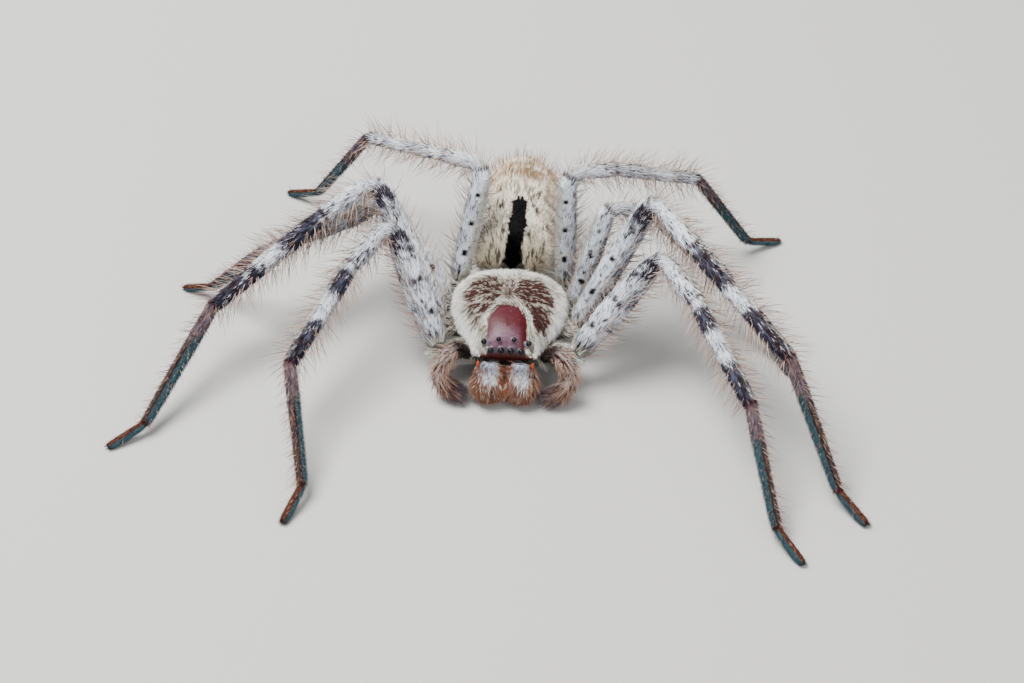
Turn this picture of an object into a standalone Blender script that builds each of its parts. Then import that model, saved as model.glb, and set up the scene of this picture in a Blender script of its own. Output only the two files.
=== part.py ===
# Huntsman spider, life size, standing on eight splayed legs as in the photo.
# Built in millimetres with the head toward -Y, its left side toward +X and the floor at z = 0,
# then moved so the middle of the whole box stands over the origin, and scaled to metres.
import math

import bmesh
import bpy
import numpy as np
from mathutils import Vector

MM = 0.001
GAP = 0.3
LEG_SIDES = 10
SPINES_ON = True
SPINE_ROOT = 0.26
# Erect bristles of one leg segment: rows as angle round the leg from its back, in degrees,
# count, length at the middle of the row and the slope away from the leg's axis in degrees.
SPINE_ROWS = {
    "femur": ((60, 2, 2.4, 55), (-60, 2, 2.4, 55), (150, 3, 3.2, 60), (-150, 3, 3.2, 60)),
    "patella": (
        (18, 1, 2.8, 68), (-18, 1, 2.8, 68), (75, 1, 2.4, 55), (-75, 1, 2.4, 55),
        (160, 1, 2.6, 60), (-160, 1, 2.6, 60),
    ),
    "tibia": ((15, 2, 3.0, 50), (80, 3, 3.6, 55), (-80, 3, 3.6, 55), (145, 3, 3.6, 60), (-145, 3, 3.6, 60)),
    "metatarsus": ((80, 2, 2.2, 48), (-80, 2, 2.2, 48), (150, 2, 2.0, 52), (-150, 2, 2.0, 52)),
    "tarsus": (),
}
PAIR_SPINE_SCALE = {1: 1.0, 2: 1.0, 3: 0.8, 4: 0.85}

# Femur base of each leg pair, on the left (+X) side, and the lengths of
# femur, patella, tibia, metatarsus and tarsus.
LEG_BASE = {1: (9.5, -7.2, 4.9), 2: (9.4, -1.9, 5.2), 3: (8.9, 2.5, 5.0), 4: (7.45, 6.5, 4.9)}
LEG_LENGTH = {
    1: (17.2, 8.2, 16.8, 16.6, 5.9),
    2: (20.5, 8.4, 20.0, 18.6, 5.9),
    3: (16.0, 6.8, 12.8, 12.4, 4.9),
    4: (17.0, 6.7, 14.5, 15.0, 5.6),
}
# Heading and pitch of femur, patella, tibia and metatarsus, then the heading of the tarsus,
# all in whole degrees. The pitch of the tarsus follows from the floor.
LEG_POSE = {
    "L1": (31, 43, -53, -6, -62, -18, -74, -31, -52),
    "R1": (124, 41, 234, -7, 245, -17, 281, -29, 248),
    "L2": (33, 56, -47, -11, -46, -20, -61, -38, -46),
    "R2": (128, 37, 215, -12, 223, -18, 243, -25, 217),
    "L3": (36, 70, 17, -21, -14, -41, -37, -36, -55),
    "R3": (131, 28, 223, 3, 207, -6, 161, -49, 162),
    "L4": (88, 76, 28, -8, 25, -24, 11, -56, 25),
    "R4": (65, 69, 139, -13, 147, -16, 163, -57, 155),
}
TOE_HEIGHT = 0.25
SEGMENTS = ("femur", "patella", "tibia", "metatarsus", "tarsus")
CORNER_RADIUS = (1.9, 2.6, 2.6, 2.6)

# Half thickness along each segment, as pairs of fraction and millimetres.
FEMUR_GIRTH = {
    1: ((0.0, 1.3), (0.1, 1.6), (0.35, 1.93), (0.7, 1.78), (0.92, 1.5), (1.0, 1.4)),
    2: ((0.0, 1.2), (0.1, 1.45), (0.35, 1.7), (0.7, 1.66), (0.92, 1.5), (1.0, 1.4)),
    3: ((0.0, 1.1), (0.1, 1.28), (0.35, 1.43), (0.7, 1.4), (0.92, 1.25), (1.0, 1.15)),
    4: ((0.0, 1.15), (0.1, 1.33), (0.35, 1.5), (0.7, 1.45), (0.92, 1.28), (1.0, 1.2)),
}
PATELLA_GIRTH = {
    1: ((0.0, 1.2), (0.3, 1.3), (0.75, 1.4), (1.0, 1.15)),
    2: ((0.0, 1.2), (0.3, 1.32), (0.75, 1.45), (1.0, 1.2)),
    3: ((0.0, 1.0), (0.3, 1.1), (0.75, 1.2), (1.0, 1.0)),
    4: ((0.0, 1.0), (0.3, 1.1), (0.75, 1.2), (1.0, 1.0)),
}
TIBIA_GIRTH = {
    1: ((0.0, 1.12), (0.12, 1.28), (0.5, 1.2), (0.9, 1.05), (1.0, 0.92)),
    2: ((0.0, 1.15), (0.12, 1.35), (0.5, 1.25), (0.9, 1.08), (1.0, 0.95)),
    3: ((0.0, 0.95), (0.12, 1.08), (0.5, 1.0), (0.9, 0.9), (1.0, 0.8)),
    4: ((0.0, 0.92), (0.12, 1.05), (0.5, 0.98), (0.9, 0.9), (1.0, 0.8)),
}
METATARSUS_GIRTH = {
    1: ((0.0, 0.85), (0.12, 0.95), (0.5, 0.88), (0.92, 0.8), (1.0, 0.7)),
    2: ((0.0, 0.88), (0.12, 0.98), (0.5, 0.92), (0.92, 0.82), (1.0, 0.72)),
    3: ((0.0, 0.74), (0.12, 0.8), (0.5, 0.75), (0.92, 0.7), (1.0, 0.62)),
    4: ((0.0, 0.74), (0.12, 0.8), (0.5, 0.75), (0.92, 0.7), (1.0, 0.62)),
}
TARSUS_GIRTH = {
    1: ((0.0, 0.6), (0.2, 0.68), (0.75, 0.7), (0.93, 0.62), (1.0, 0.42)),
    2: ((0.0, 0.6), (0.2, 0.68), (0.75, 0.7), (0.93, 0.62), (1.0, 0.42)),
    3: ((0.0, 0.54), (0.2, 0.6), (0.75, 0.62), (0.93, 0.56), (1.0, 0.4)),
    4: ((0.0, 0.54), (0.2, 0.6), (0.75, 0.62), (0.93, 0.56), (1.0, 0.4)),
}
GIRTHS = (FEMUR_GIRTH, PATELLA_GIRTH, TIBIA_GIRTH, METATARSUS_GIRTH, TARSUS_GIRTH)

# Carapace sections: y, half width, height of the top, height of the margin.
CARAPACE = (
    (-10.45, 3.1, 6.85, 6.45),
    (-10.25, 3.8, 7.15, 6.3),
    (-9.7, 4.25, 7.75, 6.0),
    (-8.9, 4.45, 8.55, 5.65),
    (-7.6, 4.75, 9.2, 5.35),
    (-6.0, 5.5, 9.6, 5.2),
    (-4.0, 6.65, 9.75, 5.1),
    (-1.8, 7.5, 9.75, 5.05),
    (0.6, 7.8, 9.6, 5.05),
    (2.6, 7.65, 9.2, 5.1),
    (4.2, 7.1, 8.55, 5.2),
    (5.4, 6.2, 7.7, 5.35),
    (6.2, 4.9, 6.9, 5.5),
    (6.6, 3.6, 6.35, 5.7),
)
# How far the abdomen's middle moves to the spider's left for each millimetre toward the rear.
ABDOMEN_LEAN = 0.045
# Abdomen sections: y, half width, half height, height of the middle.
ABDOMEN = (
    (6.95, 2.5, 1.6, 6.6),
    (7.1, 3.8, 2.5, 7.1),
    (7.5, 4.8, 3.45, 7.6),
    (8.4, 5.35, 4.2, 8.0),
    (10.2, 5.65, 4.8, 8.35),
    (13.5, 5.75, 5.2, 8.6),
    (17.0, 5.8, 5.35, 8.65),
    (20.4, 5.7, 5.25, 8.55),
    (23.0, 5.2, 4.85, 8.3),
    (25.0, 4.35, 4.15, 7.95),
    (26.5, 3.2, 3.1, 7.5),
    (27.4, 2.0, 2.0, 7.1),
    (27.7, 1.2, 1.2, 6.9),
)
# Eyes: x, y, radius, for the left side; each stands on the carapace along its normal.
EYES = {
    "AME": (0.66, -10.02, 0.42),
    "ALE": (2.02, -10.0, 0.4),
    "PME": (1.02, -8.95, 0.33),
    "PLE": (2.9, -8.95, 0.4),
}
# Palp path on the left side: point and half thickness.
PALP = (
    ((5.3, -8.5, 4.9), 0.8),
    ((6.0, -9.0, 5.9), 0.95),
    ((6.85, -9.6, 6.75), 1.0),
    ((7.8, -10.3, 6.3), 1.02),
    ((8.6, -10.95, 5.2), 0.98),
    ((8.95, -11.3, 4.1), 1.02),
    ((8.6, -11.8, 2.9), 1.05),
    ((7.7, -12.3, 1.9), 0.9),
    ((6.7, -12.6, 1.35), 0.55),
)
# Chelicera sections on the left side: height, middle x, middle y, half width, half depth.
CHELICERA = (
    (6.25, 2.1, -11.3, 1.05, 0.4),
    (6.05, 2.1, -11.35, 1.5, 0.56),
    (5.6, 2.12, -11.45, 1.78, 0.68),
    (5.1, 2.15, -11.45, 1.93, 1.0),
    (4.3, 2.2, -11.5, 2.03, 1.45),
    (3.4, 2.25, -11.7, 2.08, 1.75),
    (2.5, 2.25, -11.95, 2.05, 1.72),
    (1.85, 2.3, -12.2, 1.75, 1.45),
    (1.45, 2.3, -12.35, 1.2, 1.0),
)
# Fang path on the left side: point and half thickness.
FANG = (
    ((3.3, -12.75, 0.8), 0.4),
    ((2.6, -13.05, 0.74), 0.4),
    ((1.8, -13.15, 0.7), 0.33),
    ((1.0, -13.05, 0.68), 0.25),
    ((0.35, -12.85, 0.7), 0.12),
)


BODY_BALLS = (
    ((0.0, -1.8, 6.5), (8.2, 9.4, 3.8)),
    ((0.45, 17.3, 8.5), (6.6, 10.9, 5.8)),
)


def material(name, colour, roughness):
    mat = bpy.data.materials.get(name)
    if mat is None:
        mat = bpy.data.materials.new(name)
        mat.use_nodes = True
        shader = mat.node_tree.nodes["Principled BSDF"]
        shader.inputs["Base Color"].default_value = (*colour, 1.0)
        shader.inputs["Roughness"].default_value = roughness
        shader.inputs["Metallic"].default_value = 0.0
    return mat


PALETTE = {
    "leg_grey": ((0.46, 0.45, 0.44), 0.75),
    "leg_white": ((0.66, 0.65, 0.63), 0.75),
    "leg_banded": ((0.27, 0.24, 0.25), 0.7),
    "foot_rust": ((0.22, 0.11, 0.07), 0.7),
    "carapace_fur": ((0.47, 0.4, 0.33), 0.8),
    "under_brown": ((0.16, 0.1, 0.08), 0.7),
    "abdomen_fur": ((0.42, 0.31, 0.2), 0.85),
    "jaw_rust": ((0.25, 0.13, 0.1), 0.6),
    "fang_red": ((0.09, 0.012, 0.008), 0.25),
    "eye_black": ((0.008, 0.008, 0.01), 0.08),
    "palp_hair": ((0.36, 0.26, 0.23), 0.75),
}


def clear_scene():
    for obj in list(bpy.data.objects):
        bpy.data.objects.remove(obj, do_unlink=True)


def add_object(name, verts, faces, slot):
    mesh = bpy.data.meshes.new(name)
    mesh.from_pydata([tuple(float(c) for c in v) for v in verts], [], faces)
    work = bmesh.new()
    work.from_mesh(mesh)
    bmesh.ops.recalc_face_normals(work, faces=work.faces)
    work.to_mesh(mesh)
    work.free()
    obj = bpy.data.objects.new(name, mesh)
    bpy.context.scene.collection.objects.link(obj)
    colour, roughness = PALETTE[slot]
    mesh.materials.append(material(slot, colour, roughness))
    for poly in mesh.polygons:
        poly.use_smooth = len(poly.vertices) < 5
    return obj


def curve(table, t):
    # A smooth curve through pairs of place and value.
    xs = [row[0] for row in table]
    ys = [row[1] for row in table]
    if t <= xs[0]:
        return ys[0]
    if t >= xs[-1]:
        return ys[-1]
    i = max(k for k in range(len(xs) - 1) if xs[k] <= t)
    slopes = []
    for k in (i, i + 1):
        a = max(k - 1, 0)
        b = min(k + 1, len(xs) - 1)
        slopes.append((ys[b] - ys[a]) / (xs[b] - xs[a]))
    h = xs[i + 1] - xs[i]
    u = (t - xs[i]) / h
    lead = 2 * u**3 - 3 * u**2 + 1
    tail = -2 * u**3 + 3 * u**2
    return (
        lead * ys[i]
        + (u**3 - 2 * u**2 + u) * h * slopes[0]
        + tail * ys[i + 1]
        + (u**3 - u**2) * h * slopes[1]
    )


def heading(azimuth, pitch):
    a = math.radians(azimuth)
    e = math.radians(pitch)
    return np.array((math.cos(e) * math.cos(a), math.cos(e) * math.sin(a), math.sin(e)))


def unit(v):
    return v / np.linalg.norm(v)


def leg_joints(leg):
    pair = int(leg[1])
    side = 1 if leg[0] == "L" else -1
    pose = LEG_POSE[leg]
    joints = [np.array(LEG_BASE[pair]) * (side, 1, 1)]
    for k in range(4):
        joints.append(joints[-1] + heading(pose[2 * k], pose[2 * k + 1]) * LEG_LENGTH[pair][k])
    reach = LEG_LENGTH[pair][4]
    pitch = math.degrees(math.asin((TOE_HEIGHT - joints[-1][2]) / reach))
    joints.append(joints[-1] + heading(pose[8], pitch) * reach)
    return joints


def leg_path(leg):
    # Centreline with rounded corners: points, distance along it and the distance of each joint.
    joints = leg_joints(leg)
    points = [joints[0]]
    marks = [0]
    corners = [joints[0]]
    for k in range(1, 5):
        before = unit(joints[k] - joints[k - 1])
        after = unit(joints[k + 1] - joints[k])
        half = 0.5 * math.acos(float(np.clip(before @ after, -1, 1)))
        push = CORNER_RADIUS[k - 1] * (1 / math.cos(half) - 1)
        corners.append(joints[k] - unit(after - before) * push)
    corners.append(joints[5])
    for k in range(1, 5):
        before = unit(corners[k] - corners[k - 1])
        after = unit(corners[k + 1] - corners[k])
        half = 0.5 * math.acos(float(np.clip(before @ after, -1, 1)))
        trim = CORNER_RADIUS[k - 1] * math.tan(half)
        inward = unit(after - before)
        middle = corners[k] + inward * CORNER_RADIUS[k - 1] / math.cos(half)
        steps = 12
        for s in range(steps + 1):
            turn = half * (2 * s / steps - 1)
            axis = unit(before + after)
            points.append(middle + CORNER_RADIUS[k - 1] * (axis * math.sin(turn) - inward * math.cos(turn)))
            if s == steps // 2:
                marks.append(len(points) - 1)
        if trim > 0.48 * np.linalg.norm(corners[k + 1] - corners[k]):
            raise ValueError("corner too wide on " + leg)
    points.append(joints[5])
    marks.append(len(points) - 1)
    points = np.array(points)
    along = np.concatenate([[0], np.cumsum(np.linalg.norm(np.diff(points, axis=0), axis=1))])
    return points, along, [along[m] for m in marks]


def leg_frames(leg):
    # Samples of the centreline with tangent, back direction and side direction carried along.
    points, along, marks = leg_path(leg)
    joints = leg_joints(leg)
    femur = unit(joints[1] - joints[0])
    tibia = unit(joints[3] - joints[2])
    back = unit(femur - tibia)
    count = int(along[-1] / 0.2)
    places = np.linspace(0, along[-1], count)
    path = np.stack([np.interp(places, along, points[:, c]) for c in range(3)], axis=1)
    tangents = np.gradient(path, axis=0)
    tangents /= np.linalg.norm(tangents, axis=1)[:, None]
    backs = np.zeros_like(path)
    for i in range(count):
        back = unit(back - tangents[i] * (back @ tangents[i]))
        backs[i] = back
    sides = np.cross(tangents, backs)
    return places, path, tangents, backs, sides, marks


def frame_at(frames, place):
    places, path, tangents, backs, sides, marks = frames
    pick = [np.array([np.interp(place, places, rows[:, c]) for c in range(3)]) for rows in (path, tangents, backs)]
    point = pick[0]
    tangent = unit(pick[1])
    back = unit(pick[2] - tangent * (pick[2] @ tangent))
    return point, tangent, back, np.cross(tangent, back)


def loft(rings):
    # Closed tube from a list of rings with the same count of points.
    sides = len(rings[0])
    verts = [p for ring in rings for p in ring]
    faces = []
    for r in range(len(rings) - 1):
        for s in range(sides):
            a = r * sides + s
            b = r * sides + (s + 1) % sides
            faces.append((a, b, b + sides, a + sides))
    faces.append(tuple(range(sides - 1, -1, -1)))
    faces.append(tuple((len(rings) - 1) * sides + s for s in range(sides)))
    return verts, faces


def leg_stations(marks, k):
    # Places along one segment where its rings stand, closer at the joints.
    start = marks[k] + (GAP / 2 if k else 0.0)
    end = marks[k + 1] - (GAP / 2 if k < 4 else 0.0)
    span = end - start
    near = {0: (0.0, 0.07, 0.2, 0.42, 0.66, 0.85, 0.925, 0.965, 1.0),
            1: (0.0, 0.09, 0.18, 0.4, 0.78, 1.0),
            2: (0.0, 0.06, 0.14, 0.45, 0.75, 0.93, 1.0),
            3: (0.0, 0.06, 0.14, 0.45, 0.75, 0.93, 1.0),
            4: (0.0, 0.1, 0.25, 0.6, 0.82, 0.93, 1.0)}[k]
    return [start + f * span for f in near]


def leg_girth(pair, marks, k, place):
    return curve(GIRTHS[k][pair], (place - marks[k]) / (marks[k + 1] - marks[k]))


def leg_segment(leg, frames, k, samples, grown):
    pair = int(leg[1])
    marks = frames[5]
    rings = []
    for place in leg_stations(marks, k):
        point, tangent, back, side = frame_at(frames, place)
        girth = leg_girth(pair, marks, k, place)
        ring = []
        for s in range(LEG_SIDES):
            angle = 2 * math.pi * (s + 0.5) / LEG_SIDES
            p = point + girth * (math.cos(angle) * back + 0.96 * math.sin(angle) * side)
            if k == 4:
                p[2] = max(p[2], 0.0)
            ring.append(p)
        rings.append(ring)
    slot = {0: "leg_grey", 1: "leg_white", 2: "leg_banded", 3: "foot_rust", 4: "foot_rust"}[k]
    verts, faces = loft(rings)
    name = "leg_%s_%s" % (leg, SEGMENTS[k])
    limb = add_object(name, verts, faces, slot)
    spines = leg_spines(leg, frames, k, slot, samples, grown) if SPINES_ON else []
    return fuse(name, [limb] + spines, slot) if spines else limb


def spine(name, root, aim, droop, length, slot):
    # Four sided tapered bristle with one bend, its root sunk in the leg.
    across = unit(np.cross(aim, droop))
    other = np.cross(across, aim)
    start = root - aim * 0.45
    middle = root + aim * length * 0.5
    tip = root + aim * length + droop * length * 0.12
    verts = []
    for centre, half in ((start, SPINE_ROOT), (middle, SPINE_ROOT * 0.7)):
        for u, v in ((1, 0), (0, 1), (-1, 0), (0, -1)):
            verts.append(centre + half * (u * across + v * other))
    verts.append(tip)
    faces = [(3, 2, 1, 0)]
    for s in range(4):
        t = (s + 1) % 4
        faces.append((s, t, t + 4, s + 4))
        faces.append((s + 4, t + 4, 8))
    return add_object(name, verts, faces, slot)


def leg_samples(leg, frames):
    # Points down the middle of a leg, with how thick it is there and how far along.
    places, path, tangents, backs, sides, marks = frames
    girths = []
    for place in places:
        k = min(int(np.searchsorted(marks, place, side="right")) - 1, 4)
        girths.append(leg_girth(int(leg[1]), marks, k, place))
    return path, np.array(girths), places


def distance_to_body(point):
    # Rough clearance to carapace and abdomen, as balls stretched along the body.
    best = 1e9
    for middle, radii in BODY_BALLS:
        ratio = np.linalg.norm((point - np.array(middle)) / np.array(radii))
        best = min(best, (ratio - 1) * min(radii))
    return best


def has_room(leg, place, shaft, samples, grown):
    # True if a bristle stays clear of floor, body, other legs, the far parts of its own leg
    # and the bristles already grown.
    if shaft[-1][2] < 0.3 or min(distance_to_body(p) for p in shaft) < 0.5:
        return False
    for other, (path, girths, places) in samples.items():
        far = np.abs(places - place) > 3.2 if other == leg else np.ones(len(places), bool)
        for p in shaft:
            if np.any(np.linalg.norm(path[far] - p, axis=1) - girths[far] < 0.5):
                return False
    for rival in grown:
        if np.min(np.linalg.norm(rival[:, None] - np.array(shaft)[None], axis=2)) < 0.75:
            return False
    return True


def leg_spines(leg, frames, k, slot, samples, grown):
    pair = int(leg[1])
    marks = frames[5]
    parts = []
    for row, (angle, count, length, slope) in enumerate(SPINE_ROWS[SEGMENTS[k]]):
        for i in range(count):
            fraction = 0.14 + 0.74 * (i + 0.5 + 0.22 * (-1) ** row) / count
            place = marks[k] + fraction * (marks[k + 1] - marks[k])
            point, tangent, back, side = frame_at(frames, place)
            turn = math.radians(angle)
            outward = math.cos(turn) * back + math.sin(turn) * side
            lean = math.radians(slope)
            aim = unit(math.sin(lean) * outward + math.cos(lean) * tangent)
            root = point + outward * leg_girth(pair, marks, k, place) * 0.9
            reach = length * PAIR_SPINE_SCALE[pair]
            shaft = [root + aim * reach * t for t in (0.25, 0.4, 0.55, 0.7, 0.85, 1.0)]
            if has_room(leg, place, shaft, samples, grown):
                grown.append(np.array(shaft))
                parts.append(spine("spine", root, aim, tangent, reach, slot))
    return parts


def tube(name, path, slot, sides, side=1):
    # Tube through points with half thicknesses, its ends square to the path.
    points = [np.array(p) * (side, 1, 1) for p, r in path]
    girths = [r for p, r in path]
    back = np.array((0.0, 0.0, 1.0))
    rings = []
    for i, point in enumerate(points):
        a = points[max(i - 1, 0)]
        b = points[min(i + 1, len(points) - 1)]
        tangent = unit(b - a)
        back = unit(back - tangent * (back @ tangent))
        across = np.cross(tangent, back)
        ring = []
        for s in range(sides):
            angle = 2 * math.pi * (s + 0.5) / sides
            ring.append(point + girths[i] * (math.cos(angle) * back + math.sin(angle) * across))
        rings.append(ring)
    verts, faces = loft(rings)
    return add_object(name, verts, faces, slot)


def carapace_row(y):
    return [curve([(row[0], row[c]) for row in CARAPACE], y) for c in (1, 2, 3)]


def carapace_top(x, y):
    half, top, margin = carapace_row(y)
    across = min(abs(x) / half, 1.0)
    return margin + (top - margin) * (1 - across**2.3) ** 0.62


def carapace(grow):
    # Half rounded shell over a shallow floor, widened by the given amount.
    rings = []
    count = len(CARAPACE)
    for i, (y, half, top, margin) in enumerate(CARAPACE):
        if i == 0:
            y -= grow
        if i == count - 1:
            y += grow
        ring = []
        for s in range(13):
            angle = math.pi * s / 12
            across = math.cos(angle)
            rise = (1 - abs(across) ** 2.3) ** 0.62
            ring.append(((half + grow) * across, y, margin + (top + grow - margin) * rise))
        for across in (-0.8, -0.4, 0.0, 0.4, 0.8):
            ring.append(((half + grow) * across, y, margin - 0.3 - 0.25 * (1 - abs(across)) - grow))
        rings.append(ring)
    return loft(rings)


def fuse(name, parts, slot):
    # One closed solid from overlapping closed parts.
    base = parts[0]
    group = bpy.data.collections.new(name + "_parts")
    for part in parts[1:]:
        group.objects.link(part)
        part.hide_render = True
    boolean = base.modifiers.new("join", "BOOLEAN")
    boolean.operation = "UNION"
    boolean.operand_type = "COLLECTION"
    boolean.collection = group
    boolean.solver = "MANIFOLD"
    apply_modifiers(base)
    for part in parts[1:]:
        bpy.data.objects.remove(part, do_unlink=True)
    bpy.data.collections.remove(group)
    keep_largest(base)
    base.name = name
    base.data.name = name
    set_slot(base, slot)
    return base


def carve(base, cutter):
    boolean = base.modifiers.new("cut", "BOOLEAN")
    boolean.operation = "DIFFERENCE"
    boolean.object = cutter
    boolean.solver = "MANIFOLD"
    cutter.hide_render = True
    apply_modifiers(base)
    bpy.data.objects.remove(cutter, do_unlink=True)
    keep_largest(base)


def apply_modifiers(obj):
    graph = bpy.context.evaluated_depsgraph_get()
    mesh = bpy.data.meshes.new_from_object(obj.evaluated_get(graph))
    obj.modifiers.clear()
    old = obj.data
    obj.data = mesh
    bpy.data.meshes.remove(old)


def keep_largest(obj):
    work = bmesh.new()
    work.from_mesh(obj.data)
    bmesh.ops.remove_doubles(work, verts=work.verts, dist=0.0001)
    seen = set()
    shells = []
    for face in work.faces:
        if face in seen:
            continue
        shell = [face]
        seen.add(face)
        for item in shell:
            for edge in item.edges:
                for other in edge.link_faces:
                    if other not in seen:
                        seen.add(other)
                        shell.append(other)
        shells.append(shell)
    shells.sort(key=lambda shell: sum(face.calc_area() for face in shell), reverse=True)
    for shell in shells[1:]:
        bmesh.ops.delete(work, geom=shell, context="FACES")
    loose = [v for v in work.verts if not v.link_faces]
    bmesh.ops.delete(work, geom=loose, context="VERTS")
    bmesh.ops.recalc_face_normals(work, faces=work.faces)
    work.to_mesh(obj.data)
    work.free()


def set_slot(obj, slot):
    obj.data.materials.clear()
    colour, roughness = PALETTE[slot]
    obj.data.materials.append(material(slot, colour, roughness))
    for poly in obj.data.polygons:
        poly.material_index = 0
        poly.use_smooth = len(poly.vertices) < 5


def ball(name, middle, radii, slot, around=14, high=8):
    rings = []
    for i in range(1, high):
        polar = math.pi * i / high
        ring = []
        for s in range(around):
            angle = 2 * math.pi * s / around
            ring.append((
                middle[0] + radii[0] * math.sin(polar) * math.cos(angle),
                middle[1] + radii[1] * math.sin(polar) * math.sin(angle),
                middle[2] + radii[2] * math.cos(polar),
            ))
        rings.append(ring)
    verts, faces = loft(rings)
    return add_object(name, verts, faces, slot)


def underside():
    # Sternum, the eight coxae with their trochanters, lip and maxillae, in one solid.
    parts = [ball("sternum", (0, -0.6, 3.3), (4.9, 5.9, 1.75), "under_brown", 18, 8)]
    parts.append(ball("rear", (0, 4.2, 3.9), (3.9, 2.3, 1.3), "under_brown"))
    parts.append(ball("lip", (0, -6.6, 2.9), (1.2, 1.5, 0.9), "under_brown", 10, 6))
    for side in (1, -1):
        for pair in (1, 2, 3, 4):
            leg = ("L" if side > 0 else "R") + str(pair)
            tip = np.array(LEG_BASE[pair]) * (side, 1, 1)
            aim = heading(LEG_POSE[leg][0], LEG_POSE[leg][1])
            root = np.array({1: (3.0, -4.0, 3.1), 2: (3.2, -1.2, 3.0),
                             3: (3.2, 1.5, 3.0), 4: (2.6, 3.6, 3.1)}[pair]) * (side, 1, 1)
            end = tip - aim * GAP
            neck = end - aim * 0.7
            bend = neck - unit(neck - root) * 0.9
            girth = {1: 1.55, 2: 1.5, 3: 1.4, 4: 1.45}[pair]
            rim = FEMUR_GIRTH[pair][0][1] - 0.02
            path = (
                (root * (side, 1, 1), girth * 0.95),
                ((root * 0.4 + bend * 0.6) * (side, 1, 1), girth),
                (bend * (side, 1, 1), girth * 0.92),
                (neck * (side, 1, 1), rim * 1.06),
                (end * (side, 1, 1), rim),
            )
            coxa = tube("coxa" + leg, path, "under_brown", 12, side)
            for v in coxa.data.vertices:
                ahead = (np.array(v.co) - end) @ aim
                if ahead > 0:
                    v.co = np.array(v.co) - aim * ahead
            parts.append(coxa)
        maxilla = (
            ((2.2, -5.2, 3.2), 1.2),
            ((3.1, -6.6, 3.5), 1.3),
            ((4.2, -7.7, 4.1), 1.05),
            ((5.02, -8.3, 4.68), 0.8),
        )
        parts.append(tube("maxilla", maxilla, "under_brown", 12, side))
    body = fuse("underside", parts, "under_brown")
    verts, faces = carapace(GAP)
    carve(body, add_object("cutter", verts, faces, "under_brown"))
    return body


def abdomen_middle(y):
    # The abdomen points a little toward the spider's left.
    return ABDOMEN_LEAN * (y - ABDOMEN[0][0])


def abdomen():
    rings = []
    for y, half, high, middle in ABDOMEN:
        ring = []
        for s in range(20):
            angle = 2 * math.pi * s / 20
            ring.append((abdomen_middle(y) + half * math.cos(angle), y, middle + high * math.sin(angle)))
        rings.append(ring)
    verts, faces = loft(rings)
    return add_object("abdomen", verts, faces, "abdomen_fur")


def spinnerets():
    middle = abdomen_middle(28.5)
    parts = []
    for x, z, r in ((0.7, 6.1, 0.55), (-0.7, 6.1, 0.55), (0.55, 7.0, 0.45), (-0.55, 7.0, 0.45)):
        path = (
            ((middle + x, 28.02, z), r),
            ((middle + x * 1.1, 29.0, z - 0.05), r * 0.85),
            ((middle + x * 1.25, 29.6, z - 0.1), r * 0.55),
        )
        parts.append(tube("spinneret", path, "jaw_rust", 8))
    parts.append(ball("seat", (middle, 28.47, 6.5), (1.1, 0.45, 0.9), "jaw_rust", 10, 6))
    body = fuse("spinnerets", parts, "jaw_rust")
    return body


def chelicera(side):
    rings = []
    for z, x, y, half, deep in CHELICERA:
        ring = []
        for s in range(14):
            angle = 2 * math.pi * s / 14
            ring.append((side * x + half * math.cos(angle), y + deep * math.sin(angle), z))
        rings.append(ring)
    verts, faces = loft(rings)
    return add_object("chelicera_" + ("L" if side > 0 else "R"), verts, faces, "jaw_rust")


def eye(name, side, x, y, radius):
    step = 0.05
    z = carapace_top(x, y)
    slope_x = (carapace_top(x + step, y) - carapace_top(x - step, y)) / (2 * step)
    slope_y = (carapace_top(x, y + step) - carapace_top(x, y - step)) / (2 * step)
    normal = unit(np.array((-slope_x, -slope_y, 1.0)))
    base = np.array((x, y, z)) + normal * 0.28
    across = unit(np.cross(normal, (0.0, 0.0, 1.0)))
    other = np.cross(normal, across)
    rings = []
    for polar in (-26, 8, 40, 68):
        p = math.radians(polar)
        rise = radius * (math.sin(p) + math.sin(math.radians(26)))
        ring = []
        for s in range(10):
            angle = 2 * math.pi * s / 10
            flat = radius * math.cos(p)
            point = base + normal * rise + flat * (math.cos(angle) * across + math.sin(angle) * other)
            ring.append(point * (side, 1, 1))
        rings.append(ring)
    verts, faces = loft(rings)
    return add_object("eye_%s_%s" % (name, "L" if side > 0 else "R"), verts, faces, "eye_black")


def settle(objects):
    # The middle of the whole box comes over the origin; millimetres become metres.
    low = Vector((1e9, 1e9, 1e9))
    high = -low
    for obj in objects:
        for v in obj.data.vertices:
            for c in range(3):
                low[c] = min(low[c], v.co[c])
                high[c] = max(high[c], v.co[c])
    shift = Vector((-(low[0] + high[0]) / 2, -(low[1] + high[1]) / 2, 0.0))
    for obj in objects:
        for v in obj.data.vertices:
            v.co = (v.co + shift) * MM
        obj.data.update()


def build():
    clear_scene()
    nodes = []
    verts, faces = carapace(0.0)
    nodes.append(add_object("carapace", verts, faces, "carapace_fur"))
    nodes.append(underside())
    nodes.append(abdomen())
    nodes.append(spinnerets())
    for side in (1, -1):
        letter = "L" if side > 0 else "R"
        nodes.append(chelicera(side))
        nodes.append(tube("fang_" + letter, FANG, "fang_red", 10, side))
        nodes.append(tube("palp_" + letter, PALP, "palp_hair", 12, side))
        for name, (x, y, radius) in EYES.items():
            nodes.append(eye(name, side, x, y, radius))
    frames = {leg: leg_frames(leg) for leg in LEG_POSE}
    samples = {leg: leg_samples(leg, frames[leg]) for leg in LEG_POSE}
    grown = []
    for leg in LEG_POSE:
        for k in range(5):
            nodes.append(leg_segment(leg, frames[leg], k, samples, grown))
    settle(nodes)


build()
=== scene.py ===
# Looks of the huntsman spider: skins, a coat of flat hair, long bristles, eyes and fangs
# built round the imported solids, with the photo's camera. Lengths here are in millimetres in
# the body frame of the solids' source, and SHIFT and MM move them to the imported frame.
import math

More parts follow.
